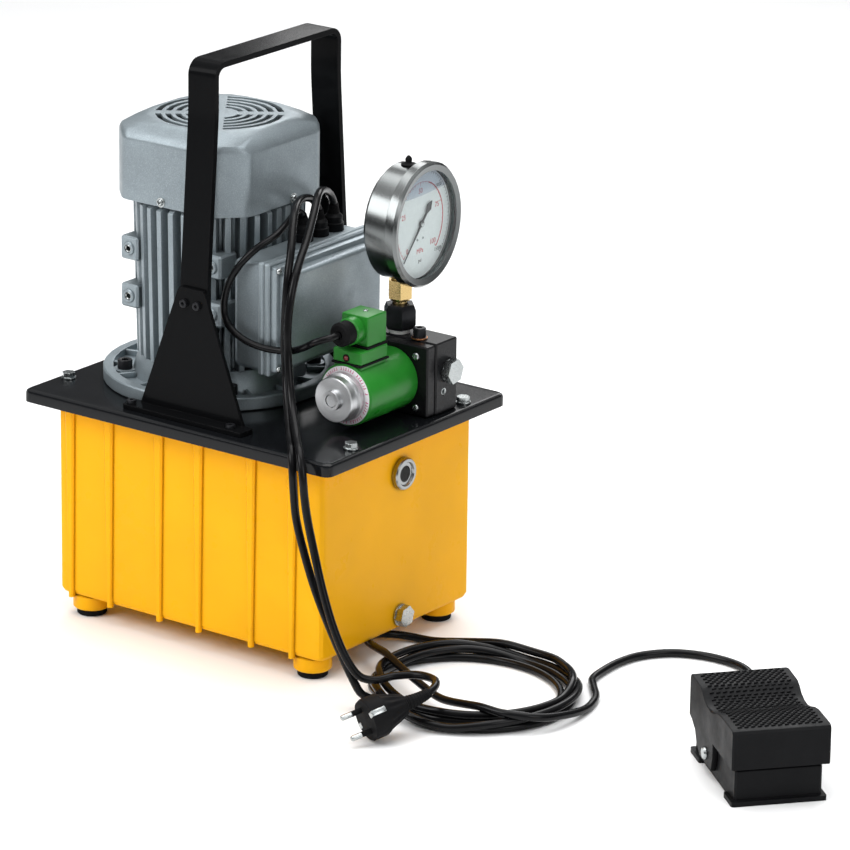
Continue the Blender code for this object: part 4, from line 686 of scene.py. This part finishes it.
def rest_heights(path, diameter, fixed_start, fixed_end):
    """Raises each later stretch of a laid cord over the earlier ones that it crosses, in long low humps."""
    plan = np.array([p.xy for p in path])
    z = np.array([p.z for p in path])
    count = len(path)
    gap = np.linalg.norm(plan[:, None] - plan[None], axis=2)
    index = np.arange(count)
    spacing = float(np.median(np.linalg.norm(np.diff(plan, axis=0), axis=1)))
    far = np.abs(index[:, None] - index[None]) * spacing > NEIGHBOUR_REACH * diameter
    need = np.where((gap < diameter) & far, np.sqrt(np.maximum(0, diameter ** 2 - gap ** 2)), 0.0)
    width = max(1, round(HUMP_ROUNDING * diameter / spacing))
    kernel = np.exp(-0.5 * (np.arange(-3 * width, 3 * width + 1) / width) ** 2)
    kernel /= kernel.sum()
    reach = np.abs(index[:, None] - index[None]) * spacing * HUMP_SLOPE
    pinned = z.copy()
    for _ in range(SETTLE_ROUNDS):
        floor = np.full(count, z.min())
        for i in range(fixed_start, fixed_end):
            under = need[i, fixed_start:i] > 0
            if under.any():
                top = z[fixed_start:i][under] + need[i, fixed_start:i][under]
                floor[i] = max(floor[i], float(top.max()) + 0.0002)
        hump = (floor[None] - reach).max(axis=1)
        pad = np.pad(hump, 3 * width, mode="edge")
        soft = np.maximum(np.convolve(pad, kernel, "valid"), pinned)
        fresh = z.copy()
        fresh[fixed_start:fixed_end] = soft[fixed_start:fixed_end]
        if np.abs(fresh - z).max() < 1e-5:
            break
        z = fresh
    return [Vector((p.x, p.y, float(h))) for p, h in zip(path, z)]


def cord_curve(name, path, diameter, nodes):
    curve = bpy.data.curves.new(name, "CURVE")
    curve.dimensions = "3D"
    curve.bevel_depth = diameter / 2
    curve.bevel_resolution = 4
    curve.use_fill_caps = True
    spline = curve.splines.new("POLY")
    spline.points.add(len(path) - 1)
    for point, place in zip(spline.points, path):
        point.co = (*place, 1.0)
    spline.use_smooth = True
    curve.materials.append(CABLE)
    obj = new_object(name, curve)
    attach(obj, ROOT)
    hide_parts(*nodes)
    return obj


SPACING = 0.004
drop = smooth_path(PEDAL_CORD_DROP, SPACING)
laid = [(x, y, CORD_Z) for x, y in coil_plan()]
whole = smooth_path(PEDAL_CORD_DROP + laid + PEDAL_CORD_LEAD, SPACING)
whole = rest_heights(whole, CORD_DIAMETER, len(drop) - 3, len(whole) - 30)
pedal_path = [UNIT + p for p in whole]
mains_path = [UNIT + p for p in smooth_path(MAINS_CORD, SPACING)]
lead_path = [UNIT + p for p in smooth_path(SOLENOID_LEAD, SPACING)]
pedal_cord = cord_curve("pedal_cord", pedal_path, CORD_DIAMETER,
                        ("pedal_cord_drop", "pedal_cord_coil", "pedal_cord_lead"))
mains_cord = cord_curve("mains_lead", mains_path, CORD_DIAMETER, ("mains_cord",))
valve_cord = cord_curve("valve_lead", lead_path, LEAD_DIAMETER, ("solenoid_lead",))

# ---- mains plug
PIN_SPACING = 0.019


def grip(radius, depth, flat):
    """A plug section: round, cut by two flats on its sides and waved along its grip."""
    def reach(angle):
        side = abs(math.cos(angle))
        wave = depth * (0.5 + 0.5 * math.cos(16 * angle))
        return min(radius - wave, flat / max(side, 1e-6))
    return reach


bm = bmesh.new()
add_rings(bm, [
    (grip(0.0072, 0.0, 1.0), -0.0378), (grip(0.009, 0.0, 1.0), -0.0366), (grip(0.0108, 0.0004, 1.0), -0.033),
    (grip(0.0128, 0.001, 0.0122), -0.0285), (grip(0.0146, 0.0013, 0.0135), -0.024),
    (grip(0.0163, 0.001, 0.015), -0.0195), (grip(0.0176, 0.0004, 0.0166), -0.0155),
    (grip(0.0181, 0.0, 0.0172), -0.0148), (grip(0.0184, 0.0, 0.0176), -0.014),
    (grip(0.0184, 0.0, 0.0176), -0.0012), (grip(0.0176, 0.0, 0.0169), 0.0)], ORIGIN, 96)
plug_body = piece("plug_body", bm, PLUG_PLACE, RUBBER, ROOT, "rubber", 28.0)
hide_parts("mains_plug")

pin_places = [shift(side * PIN_SPACING / 2, 0.0, 0.0) for side in (-1, 1)]
plug_pins = turned_row("plug_pins", [
    (0.0, -0.004), (0.0019, -0.004), (0.0019, 0.009), (0.0024, 0.0094), (0.0024, 0.0172), (0.0021, 0.0184),
    (0.0014, 0.019), (0.0, 0.019)], pin_places, ZINC, "zinc", place=PLUG_PLACE)
plug_sleeves = turned_row("plug_pin_sleeves", [
    (0.0018, -0.004), (0.0024, -0.004), (0.0024, 0.0088), (0.0018, 0.0088)],
    pin_places, RUBBER, "rubber", closed=True, place=PLUG_PLACE)

bm = bmesh.new()
for side in (-1, 1):
    add_block(bm, (0.0048, 0.0009, 0.0125), shift(0.0, side * 0.0184, -0.0068), 0.0003)
    add_block(bm, (0.0048, 0.006, 0.0009), shift(0.0, side * 0.0152, -0.0002), 0.0003)
plug_earth = piece("plug_earth_strips", bm, PLUG_PLACE, ZINC, ROOT, "zinc")


def strain_relief(name, path, diameter, length, wide, narrow):
    """A ribbed tapering sleeve that follows the cord from its end."""
    stations = []
    walked = 0.0
    for p, q in zip(path, path[1:]):
        stations.append((walked, p, (q - p).normalized()))
        walked += (q - p).length
        if walked > length:
            break
    rings = []
    steps = 26
    for k in range(steps + 1):
        s = length * k / steps
        before = max((st for st in stations if st[0] <= s + 1e-9), key=lambda st: st[0])
        centre = before[1] + before[2] * (s - before[0])
        taper = wide + (narrow - wide) * (k / steps) ** 0.8
        rib = 1.0 if k % 3 < 2 or k in (0, steps) else 0.86
        rings.append((centre, before[2], max(taper * rib, diameter / 2 + 0.0004)))
    bm = bmesh.new()
    rows = []
    side = rings[0][1].orthogonal().normalized()
    for centre, along, radius in rings:
        side = (side - along * side.dot(along)).normalized()
        other = along.cross(side)
        rows.append([bm.verts.new(centre + (side * math.cos(a) + other * math.sin(a)) * radius)
                     for a in (2 * math.pi * i / 24 for i in range(24))])
    skin(bm, rows)
    return piece(name, bm, ORIGIN, RUBBER, ROOT, "rubber", 30.0)


plug_relief = strain_relief("plug_strain_relief", mains_path[::-1], CORD_DIAMETER, 0.024, 0.0068, 0.0044)
pedal_relief = strain_relief("pedal_strain_relief", pedal_path[::-1], CORD_DIAMETER, 0.016, 0.0062, 0.0044)
gland_reliefs = [strain_relief(f"gland_relief_{i + 1}", path, width, 0.008, 0.0056, 0.0042)
                 for i, (path, width) in enumerate(((lead_path, LEAD_DIAMETER), (pedal_path, CORD_DIAMETER),
                                                    (mains_path, CORD_DIAMETER)))]

# ---- screws, washers and small fittings
FLANGE_BOLT_RING = 0.0825
RIB_RING = 0.0845
SEAT_TOP = PLATE_TOP + 0.0105
bolt_angles = [math.radians(45 + 90 * i) for i in range(4)]
screws("flange_screws", socket_screw,
       [placed(MOTOR + Vector((*polar(FLANGE_BOLT_RING, a), SEAT_TOP))) for a in bolt_angles],
       BLACK_STEEL, "black_steel", radius=0.0065, height=0.008, key=0.006)

bm = bmesh.new()
for i in range(16):
    angle = math.radians(11.25 + 22.5 * i)
    if min(abs((angle - a + math.pi) % (2 * math.pi) - math.pi) for a in bolt_angles) < 0.19:
        continue
    spot = MOTOR + Vector((*polar(RIB_RING, angle), PLATE_TOP + 0.009))
    add_block(bm, (0.0165, 0.0028, 0.0052), Matrix.Translation(spot) @ Matrix.Rotation(angle, 4, "Z"), 0.0007)
piece("flange_ribs", bm, ORIGIN, CAST, ROOT, "silver_casting")

PAD_X = 0.0455
PAD_Y = 0.068
pad_places = [placed(MOTOR + Vector((sx * PAD_X, sy * PAD_Y, z)), (0.0, sy, 0.0))
              for sx in (-1, 1) for sy in (-1, 1) for z in (0.2874, 0.33)]
turned_row("pad_bosses", [(0.0036, -0.001), (0.0064, -0.001), (0.006, 0.001), (0.0052, 0.0016),
                          (0.0036, 0.0016)], pad_places, CAST, "silver_casting", closed=True)
turned_row("pad_thread_inserts", [(0.0022, -0.006), (0.0034, -0.006), (0.0034, 0.0009), (0.0029, 0.0012),
                                  (0.0022, 0.0006)], pad_places, ZINC, "zinc", 20, True)

cover_z = COVER_LOW.z + 0.0041
cover_middle = (COVER_LOW + COVER_HIGH) / 2
screws("cover_screws", pan_screw,
       [placed((cover_middle.x - 0.0064, COVER_LOW.y, cover_z), FRONT),
        placed((cover_middle.x + 0.0064, COVER_HIGH.y, cover_z), -FRONT),
        placed((COVER_HIGH.x, cover_middle.y + 0.0107, cover_z), RIGHT),
        placed((COVER_LOW.x, cover_middle.y - 0.0107, cover_z), -RIGHT)],
       ZINC, "zinc", radius=0.003, height=0.0022, washer=0.0043)

LID_STEP = 0.0117
LID_INSET = 0.0066
screws("lid_screws", pan_screw,
       [placed((LID_LOW.x + LID_STEP, y, z), RIGHT)
        for y in (LID_LOW.y + LID_INSET, LID_HIGH.y - LID_INSET)
        for z in (LID_LOW.z + LID_INSET, LID_HIGH.z - LID_INSET)],
       ZINC, "zinc", radius=0.0029, height=0.0021)

STRAP_LOW, STRAP_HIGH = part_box("handle_strap")
BRACKET_FACE = 0.0038
APEX_Z = 0.3085
handle_x = (STRAP_LOW.x + STRAP_HIGH.x) / 2
screws("handle_screws", socket_screw,
       [placed((handle_x + dx, y, APEX_Z), axis) for dx in (-0.007, 0.007)
        for y, axis in ((STRAP_LOW.y - BRACKET_FACE, FRONT), (STRAP_HIGH.y + BRACKET_FACE, -FRONT))],
       BLACK_STEEL, "black_steel", radius=0.0036, height=0.003, key=0.003)
foot_z = PLATE_TOP + GAP + 0.0038
screws("bracket_foot_screws", socket_screw,
       [placed(tank(x, y, foot_z)) for x, y in ((-0.06, -0.108), (0.048, -0.108), (0.008, 0.108),
                                                (0.048, 0.108))],
       BLACK_STEEL, "black_steel", radius=0.0042, height=0.003, key=0.0032)

screws("valve_screws", pan_screw,
       [placed((UNIT.x + x, FLANGE_LOW.y, z), FRONT) for x in (0.096, 0.145) for z in (0.2147, 0.2606)],
       ZINC, "zinc", radius=0.0034, height=0.0022)

bm = bmesh.new()
add_rings(bm, [(round_of(0.0033), -0.005), (round_of(0.0033), -0.0002), (round_of(0.0029), 0.0002),
               (round_of(0.0023), 0.0000), (hex_of(0.0034), -0.0006), (hex_of(0.0032), -0.004)],
          placed((BLOCK_HIGH.x, 0.046, 0.2262), RIGHT))
piece("relief_screw", bm, ORIGIN, ZINC, ROOT, "zinc")

SOCKET = middle("socket_plug")
PLUG_HEAD = (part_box("socket_plug")[1].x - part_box("socket_plug")[0].x) / 2
turned("socket_plug_washer", [(PLUG_HEAD - 0.0008, GAP), (PLUG_HEAD + 0.0004, GAP),
                              (PLUG_HEAD + 0.0004, 0.0014), (PLUG_HEAD - 0.0008, 0.0014)],
       placed((SOCKET.x, SOCKET.y, BLOCK_HIGH.z)), COPPER, 32, True, slot="copper")
NUT = middle("swivel_nut")
turned("stem_sealing_ring", [(0.0066, GAP), (0.009, GAP), (0.0093, 0.001), (0.0093, 0.0034), (0.0086, 0.0041),
                             (0.0066, 0.0041)],
       placed((NUT.x, NUT.y, BLOCK_HIGH.z)), PTFE, 36, True, slot="white_dial")

# ---- solenoid fittings
COIL_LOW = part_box("solenoid_coil")[0]
LABEL_THICK = 0.0003
label_place = placed((COIL.x, COIL_LOW.y, COIL.z), FRONT)
turned("coil_label", [(0.019, 0.0), (0.0256, 0.0), (0.0256, LABEL_THICK), (0.019, LABEL_THICK)],
       label_place, LABEL_WHITE, 64, True, slot="white_dial")


def add_raised(bm, outline, low, high, place=ORIGIN):
    """An outline raised from one height to another."""
    start = len(bm.verts)
    face = bm.faces.new([bm.verts.new((x, y, low)) for x, y in outline])
    made = bmesh.ops.extrude_face_region(bm, geom=[face])["geom"]
    bmesh.ops.translate(bm, vec=(0.0, 0.0, high - low),
                        verts=[v for v in made if isinstance(v, bmesh.types.BMVert)])
    bm.verts.ensure_lookup_table()
    bmesh.ops.transform(bm, matrix=place, verts=bm.verts[start:])


def add_sector(bm, r0, r1, a0, a1, h0, h1, place, steps=2):
    """A flat curved mark between two radii and two angles."""
    angles = [a0 + (a1 - a0) * k / steps for k in range(steps + 1)]
    line = [polar(r1, a) for a in angles] + [polar(r0, a) for a in reversed(angles)]
    add_raised(bm, line, h0, h1, place)


bm = bmesh.new()
MARKS = 58
for i in range(MARKS):
    if i % 29 in (0, 1) or i % 7 == 3:
        continue
    angle = 2 * math.pi * i / MARKS
    width = 0.018 + 0.014 * ((i * 7) % 5) / 4
    low = 0.0221 + 0.0005 * ((i * 3) % 3)
    add_sector(bm, low, 0.0247, angle, angle + width, LABEL_THICK, LABEL_THICK + 0.0001, label_place)
    add_sector(bm, low, low + 0.0006, angle + width, angle + width + 0.03, LABEL_THICK, LABEL_THICK + 0.0001,
               label_place)
piece("coil_label_marks", bm, ORIGIN, INK_MAGENTA, ROOT, "white_dial")

BASE_LOW, BASE_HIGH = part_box("connector_base")
HOUSE_LOW, HOUSE_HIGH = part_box("connector_housing")
bm = bmesh.new()
GASKET_PROUD = 0.0009
for (low_x, low_y, high_x, high_y), (low_z, high_z) in (
        ((BASE_LOW.x, BASE_LOW.y, BASE_HIGH.x, BASE_HIGH.y), (BASE_LOW.z - 0.0016, BASE_LOW.z + 0.0002)),
        ((HOUSE_LOW.x, BASE_LOW.y + 0.0112, HOUSE_HIGH.x, HOUSE_HIGH.y), (BASE_HIGH.z, HOUSE_LOW.z))):
    size = (high_x - low_x + 2 * GASKET_PROUD, high_y - low_y + 2 * GASKET_PROUD, high_z - low_z)
    add_block(bm, size, shift((low_x + high_x) / 2, (low_y + high_y) / 2, (low_z + high_z) / 2), 0.0004)
piece("connector_gaskets", bm, ORIGIN, RUBBER, ROOT, "rubber")
led_place = placed((BASE_LOW.x + 0.0144, BASE_LOW.y, BASE_LOW.z + 0.0046), FRONT)
turned("led_bezel", [(0.0023, -0.001), (0.0034, -0.001), (0.0034, 0.0004), (0.0023, 0.0006)], led_place,
       PLASTIC, 24, True, slot="black_plastic")
turned("led_dome", [(0.0022, -0.001), (0.0022, 0.0005), (0.0018, 0.0014), (0.001, 0.002), (0.0, 0.0022)],
       led_place, RED_LED, 24, slot="red_plastic")
screws("connector_screw", pan_screw, [placed(((HOUSE_LOW.x + HOUSE_HIGH.x) / 2, -0.015, HOUSE_HIGH.z))],
       ZINC, "zinc", radius=0.0023, height=0.0009)

# ---- gauge dial, glass edge and vent
DIAL = axes(GAUGE_SIDE, UP, GAUGE_AXIS, GAUGE_CENTRE)
ZERO_ANGLE = math.radians(225)
SWEEP = math.radians(270)
INK_THICK = 0.00012


def dial_angle(share):
    return ZERO_ANGLE - SWEEP * share


def tick(bm, share, r0, r1, width):
    angle = dial_angle(share)
    half = width / 2 / r1
    add_sector(bm, r0, r1, angle - half, angle + half, 0.0, INK_THICK, DIAL, 1)


black = bmesh.new()
red = bmesh.new()
for i in range(61):
    main = i % 20 == 0
    tick(black, i / 60, 0.0425 if main else 0.0437, 0.0458, 0.0006 if main else 0.0003)
for i in range(41):
    main = i % 10 == 0
    tick(red, i / 40, 0.033 if main else 0.0345, 0.0362, 0.0006 if main else 0.0003)
add_sector(black, 0.0456, 0.0459, dial_angle(1.0), dial_angle(0.0), 0.0, INK_THICK, DIAL, 48)
add_sector(red, 0.0361, 0.0364, dial_angle(0.58), dial_angle(0.0), 0.0, INK_THICK, DIAL, 32)
add_sector(red, 0.0356, 0.0367, dial_angle(1.0), dial_angle(0.58), 0.0, INK_THICK, DIAL, 32)
piece("dial_black_scale", black, ORIGIN, INK_BLACK, ROOT, "white_dial", 1.0)
piece("dial_red_scale", red, ORIGIN, INK_RED, ROOT, "white_dial", 1.0)


def dial_text(name, words, share, radius, size, mat, flat_at=None):
    """Raised print on the dial, at a place on its scale or at a point across and up."""
    font = bpy.data.curves.new(name, "FONT")
    font.body = words
    font.size = size
    font.align_x = "CENTER"
    font.align_y = "CENTER"
    font.extrude = INK_THICK / 2
    font.resolution_u = 3
    shape = new_object(name + "_font", font)
    bpy.context.view_layer.update()
    graph = bpy.context.evaluated_depsgraph_get()
    mesh = bpy.data.meshes.new_from_object(shape.evaluated_get(graph))
    bpy.data.objects.remove(shape)
    mesh.name = name
    mesh.materials.clear()
    mesh.materials.append(mat)
    obj = new_object(name, mesh)
    if flat_at is None:
        flat_at = polar(radius, dial_angle(share))
    obj.matrix_world = DIAL @ shift(*flat_at, INK_THICK / 2)
    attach(obj, ROOT)


for i, words in enumerate(("0", "25", "50", "75", "100")):
    dial_text(f"dial_red_{words}", words, i / 4, 0.0287, 0.0066, INK_RED)
for words, share in (("5000", 1 / 3), ("10000", 2 / 3), ("15000", 1.0)):
    dial_text(f"dial_black_{words}", words, share, 0.0392 if words != "15000" else 0.0405, 0.0046, INK_BLACK)
dial_text("dial_red_unit", "MPa", 0, 0, 0.0062, INK_RED, (0.0, -0.024))
dial_text("dial_black_unit", "psi", 0, 0, 0.0048, INK_BLACK, (0.0, -0.0325))

turned_row("dial_screws", [(0.0, 0.0), (0.0011, 0.0), (0.0011, 0.0004), (0.0008, 0.0007), (0.0, 0.0008)],
           [DIAL @ shift(side * 0.0045, -0.0135, 0.0) for side in (-1, 1)], ZINC, "zinc", 16)
turned("needle_cap", [(0.0, 0.0), (0.0026, 0.0), (0.0026, 0.0005), (0.0018, 0.0009), (0.0, 0.001)],
       Matrix.Translation(GAUGE_CENTRE + GAUGE_AXIS * 0.0025) @ facing(GAUGE_AXIS), ZINC, 24,
       body="gauge_needle", slot="zinc")

LEVEL = 0.027
RIM = 0.047
level_half = math.acos(LEVEL / RIM)
bm = bmesh.new()
steps = 24
line = [(RIM * math.sin(a), RIM * math.cos(a))
        for a in (-level_half + 2 * level_half * k / steps for k in range(steps + 1))]
line += [(LEVEL * math.tan(level_half) * (1 - 2 * k / 6), LEVEL - 0.0012 * math.sin(math.pi * k / 6))
         for k in range(1, 6)]
add_raised(bm, line, 0.0, 0.0004)
piece("glycerine_air_gap", bm, DIAL @ shift(0.0, 0.0, 0.0024), GLYCERINE, ROOT, "glass", 20.0)

CASE_RADIUS = 0.05
VENT_BACK = 0.0122
turned("gauge_vent", [(0.0, -0.003), (0.0039, -0.003), (0.0039, 0.0001), (0.0066, 0.0001), (0.0064, 0.001),
                      (0.0034, 0.0016), (0.0026, 0.0024), (0.003, 0.0042), (0.0027, 0.0058), (0.0012, 0.0078),
                      (0.0, 0.0084)],
       Matrix.Translation(GAUGE_CENTRE - GAUGE_AXIS * VENT_BACK + UP * CASE_RADIUS), RUBBER, 32, slot="rubber")

# ---- sight glass
SIGHT = middle("sight_glass")
SIGHT_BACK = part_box("sight_glass")[0].x
turned("sight_reflector", [(0.0, -0.0012), (0.0064, -0.0012), (0.0064, -0.0002), (0.0052, -0.0002),
                           (0.0044, -0.0008), (0.003, -0.0008), (0.0022, -0.0002), (0.0, -0.0002)],
       placed((SIGHT_BACK, SIGHT.y, SIGHT.z), RIGHT), BLACK_STEEL, 32, slot="black_steel")
turned("sight_float", [(0.0, 0.0), (0.0019, 0.0002), (0.0026, 0.0008), (0.0019, 0.0014), (0.0, 0.0016)],
       placed((SIGHT_BACK - 0.0001, SIGHT.y, SIGHT.z), RIGHT), PTFE, 24, slot="white_dial")

# ---- pedal tread
TREADLE = NODES["pedal_treadle"]
surface = BVHTree.FromPolygons([v.co for v in TREADLE.data.vertices],
                               [tuple(p.vertices) for p in TREADLE.data.polygons])
depths = [PEDAL_DEPTH.dot(v.co) for v in TREADLE.data.vertices]
sides = [PEDAL_ACROSS.dot(v.co) for v in TREADLE.data.vertices]
side_middle = (min(sides) + max(sides)) / 2
TREAD_MARGIN = 0.0075
ROW_STEP = 0.0034
BAR_STEP = 0.0056
BAR_SIZE = (0.0038, 0.0014, 0.0014)
BAR_LIFT = 0.0004
BAR_TURN = 0.2
BADGE_DEPTH = 0.055
BADGE_HALF = (0.0105, 0.004)
bm = bmesh.new()
row = 0
depth = min(depths) + TREAD_MARGIN
while depth < max(depths) - TREAD_MARGIN + 0.0015:
    offset = BAR_STEP / 2 if row % 2 else 0.0
    for k in range(-7, 8):
        side = k * BAR_STEP + offset
        if abs(side) > (max(sides) - min(sides)) / 2 - TREAD_MARGIN + 0.0008:
            continue
        if abs(side) < BADGE_HALF[0] and abs(depth - min(depths) - BADGE_DEPTH) < BADGE_HALF[1]:
            continue
        start = PEDAL_ACROSS * (side_middle + side) + PEDAL_DEPTH * depth
        hit, normal, _, _ = surface.ray_cast(Vector((start.x, start.y, 0.5)), DOWN)
        if hit is None or normal.z < 0.5:
            continue
        tilt = axes(PEDAL_ACROSS, normal.cross(PEDAL_ACROSS), normal, hit + normal * BAR_LIFT)
        add_block(bm, BAR_SIZE, tilt @ Matrix.Rotation(BAR_TURN, 4, "Z"), 0.0004, 1)
    depth += ROW_STEP
    row += 1
piece("tread_grip", bm, ORIGIN, PLASTIC, "pedal_treadle", "black_plastic")

# ---- floor, light
floor_mat = Shader("studio_floor")
floor_tone = floor_mat.mix(floor_mat.noise(0.9, 2.0), (0.91, 0.915, 0.92), (0.93, 0.933, 0.935))
floor_mat.finish(floor_tone, floor_mat.ramp(floor_mat.noise(3.0), 0.2, 0.8, 0.55, 0.65),
                 floor_mat.bump(floor_mat.noise(60.0), 0.02, 0.001), specular=0.2)
FLOOR_HALF = 9.0
bm = bmesh.new()
bmesh.ops.create_grid(bm, x_segments=8, y_segments=8, size=FLOOR_HALF)
floor_mesh = bpy.data.meshes.new("studio_floor")
bm.to_mesh(floor_mesh)
bm.free()
floor_mesh.materials.append(floor_mat.mat)
floor = new_object("studio_floor", floor_mesh)


LIGHT_TARGET = Vector((0.0, 0.0, 0.2))


def softbox(name, at, size, power):
    light = bpy.data.lights.new(name, "AREA")
    light.shape = "RECTANGLE"
    light.size = size[0]
    light.size_y = size[1]
    light.energy = power
    aim = LIGHT_TARGET - Vector(at)
    new_object(name, light).matrix_world = (
        Matrix.Translation(at) @ aim.to_track_quat("-Z", "Y").to_matrix().to_4x4())


softbox("key", (-1.1, -1.9, 1.7), (1.5, 1.3), 36.0)
softbox("fill", (2.1, -0.6, 1.2), (1.2, 1.2), 13.0)
softbox("top", (-0.1, 0.2, 2.3), (2.2, 2.2), 46.0)
softbox("rim", (-0.9, 1.9, 1.5), (1.4, 1.0), 16.0)

world = bpy.data.worlds.new("studio")
world.use_nodes = True
bpy.context.scene.world = world
tree = world.node_tree
sky = tree.nodes["Background"]
where = tree.nodes.new("ShaderNodeTexCoord")
split = tree.nodes.new("ShaderNodeSeparateXYZ")
tree.links.new(where.outputs["Generated"], split.inputs[0])
shade = tree.nodes.new("ShaderNodeValToRGB")
SKY = ((0.0, (0.055, 0.056, 0.058)), (0.35, (0.12, 0.122, 0.125)), (0.85, (1.0, 1.0, 1.0)))
shade.color_ramp.elements.new(SKY[1][0])
for stop, (height, tone) in zip(shade.color_ramp.elements, SKY):
    stop.position = height
    stop.color = (*tone, 1.0)
tree.links.new(split.outputs["Z"], shade.inputs[0])
tree.links.new(shade.outputs[0], sky.inputs["Color"])
sky.inputs["Strength"].default_value = 0.9
bpy.context.scene.view_settings.view_transform = "Standard"
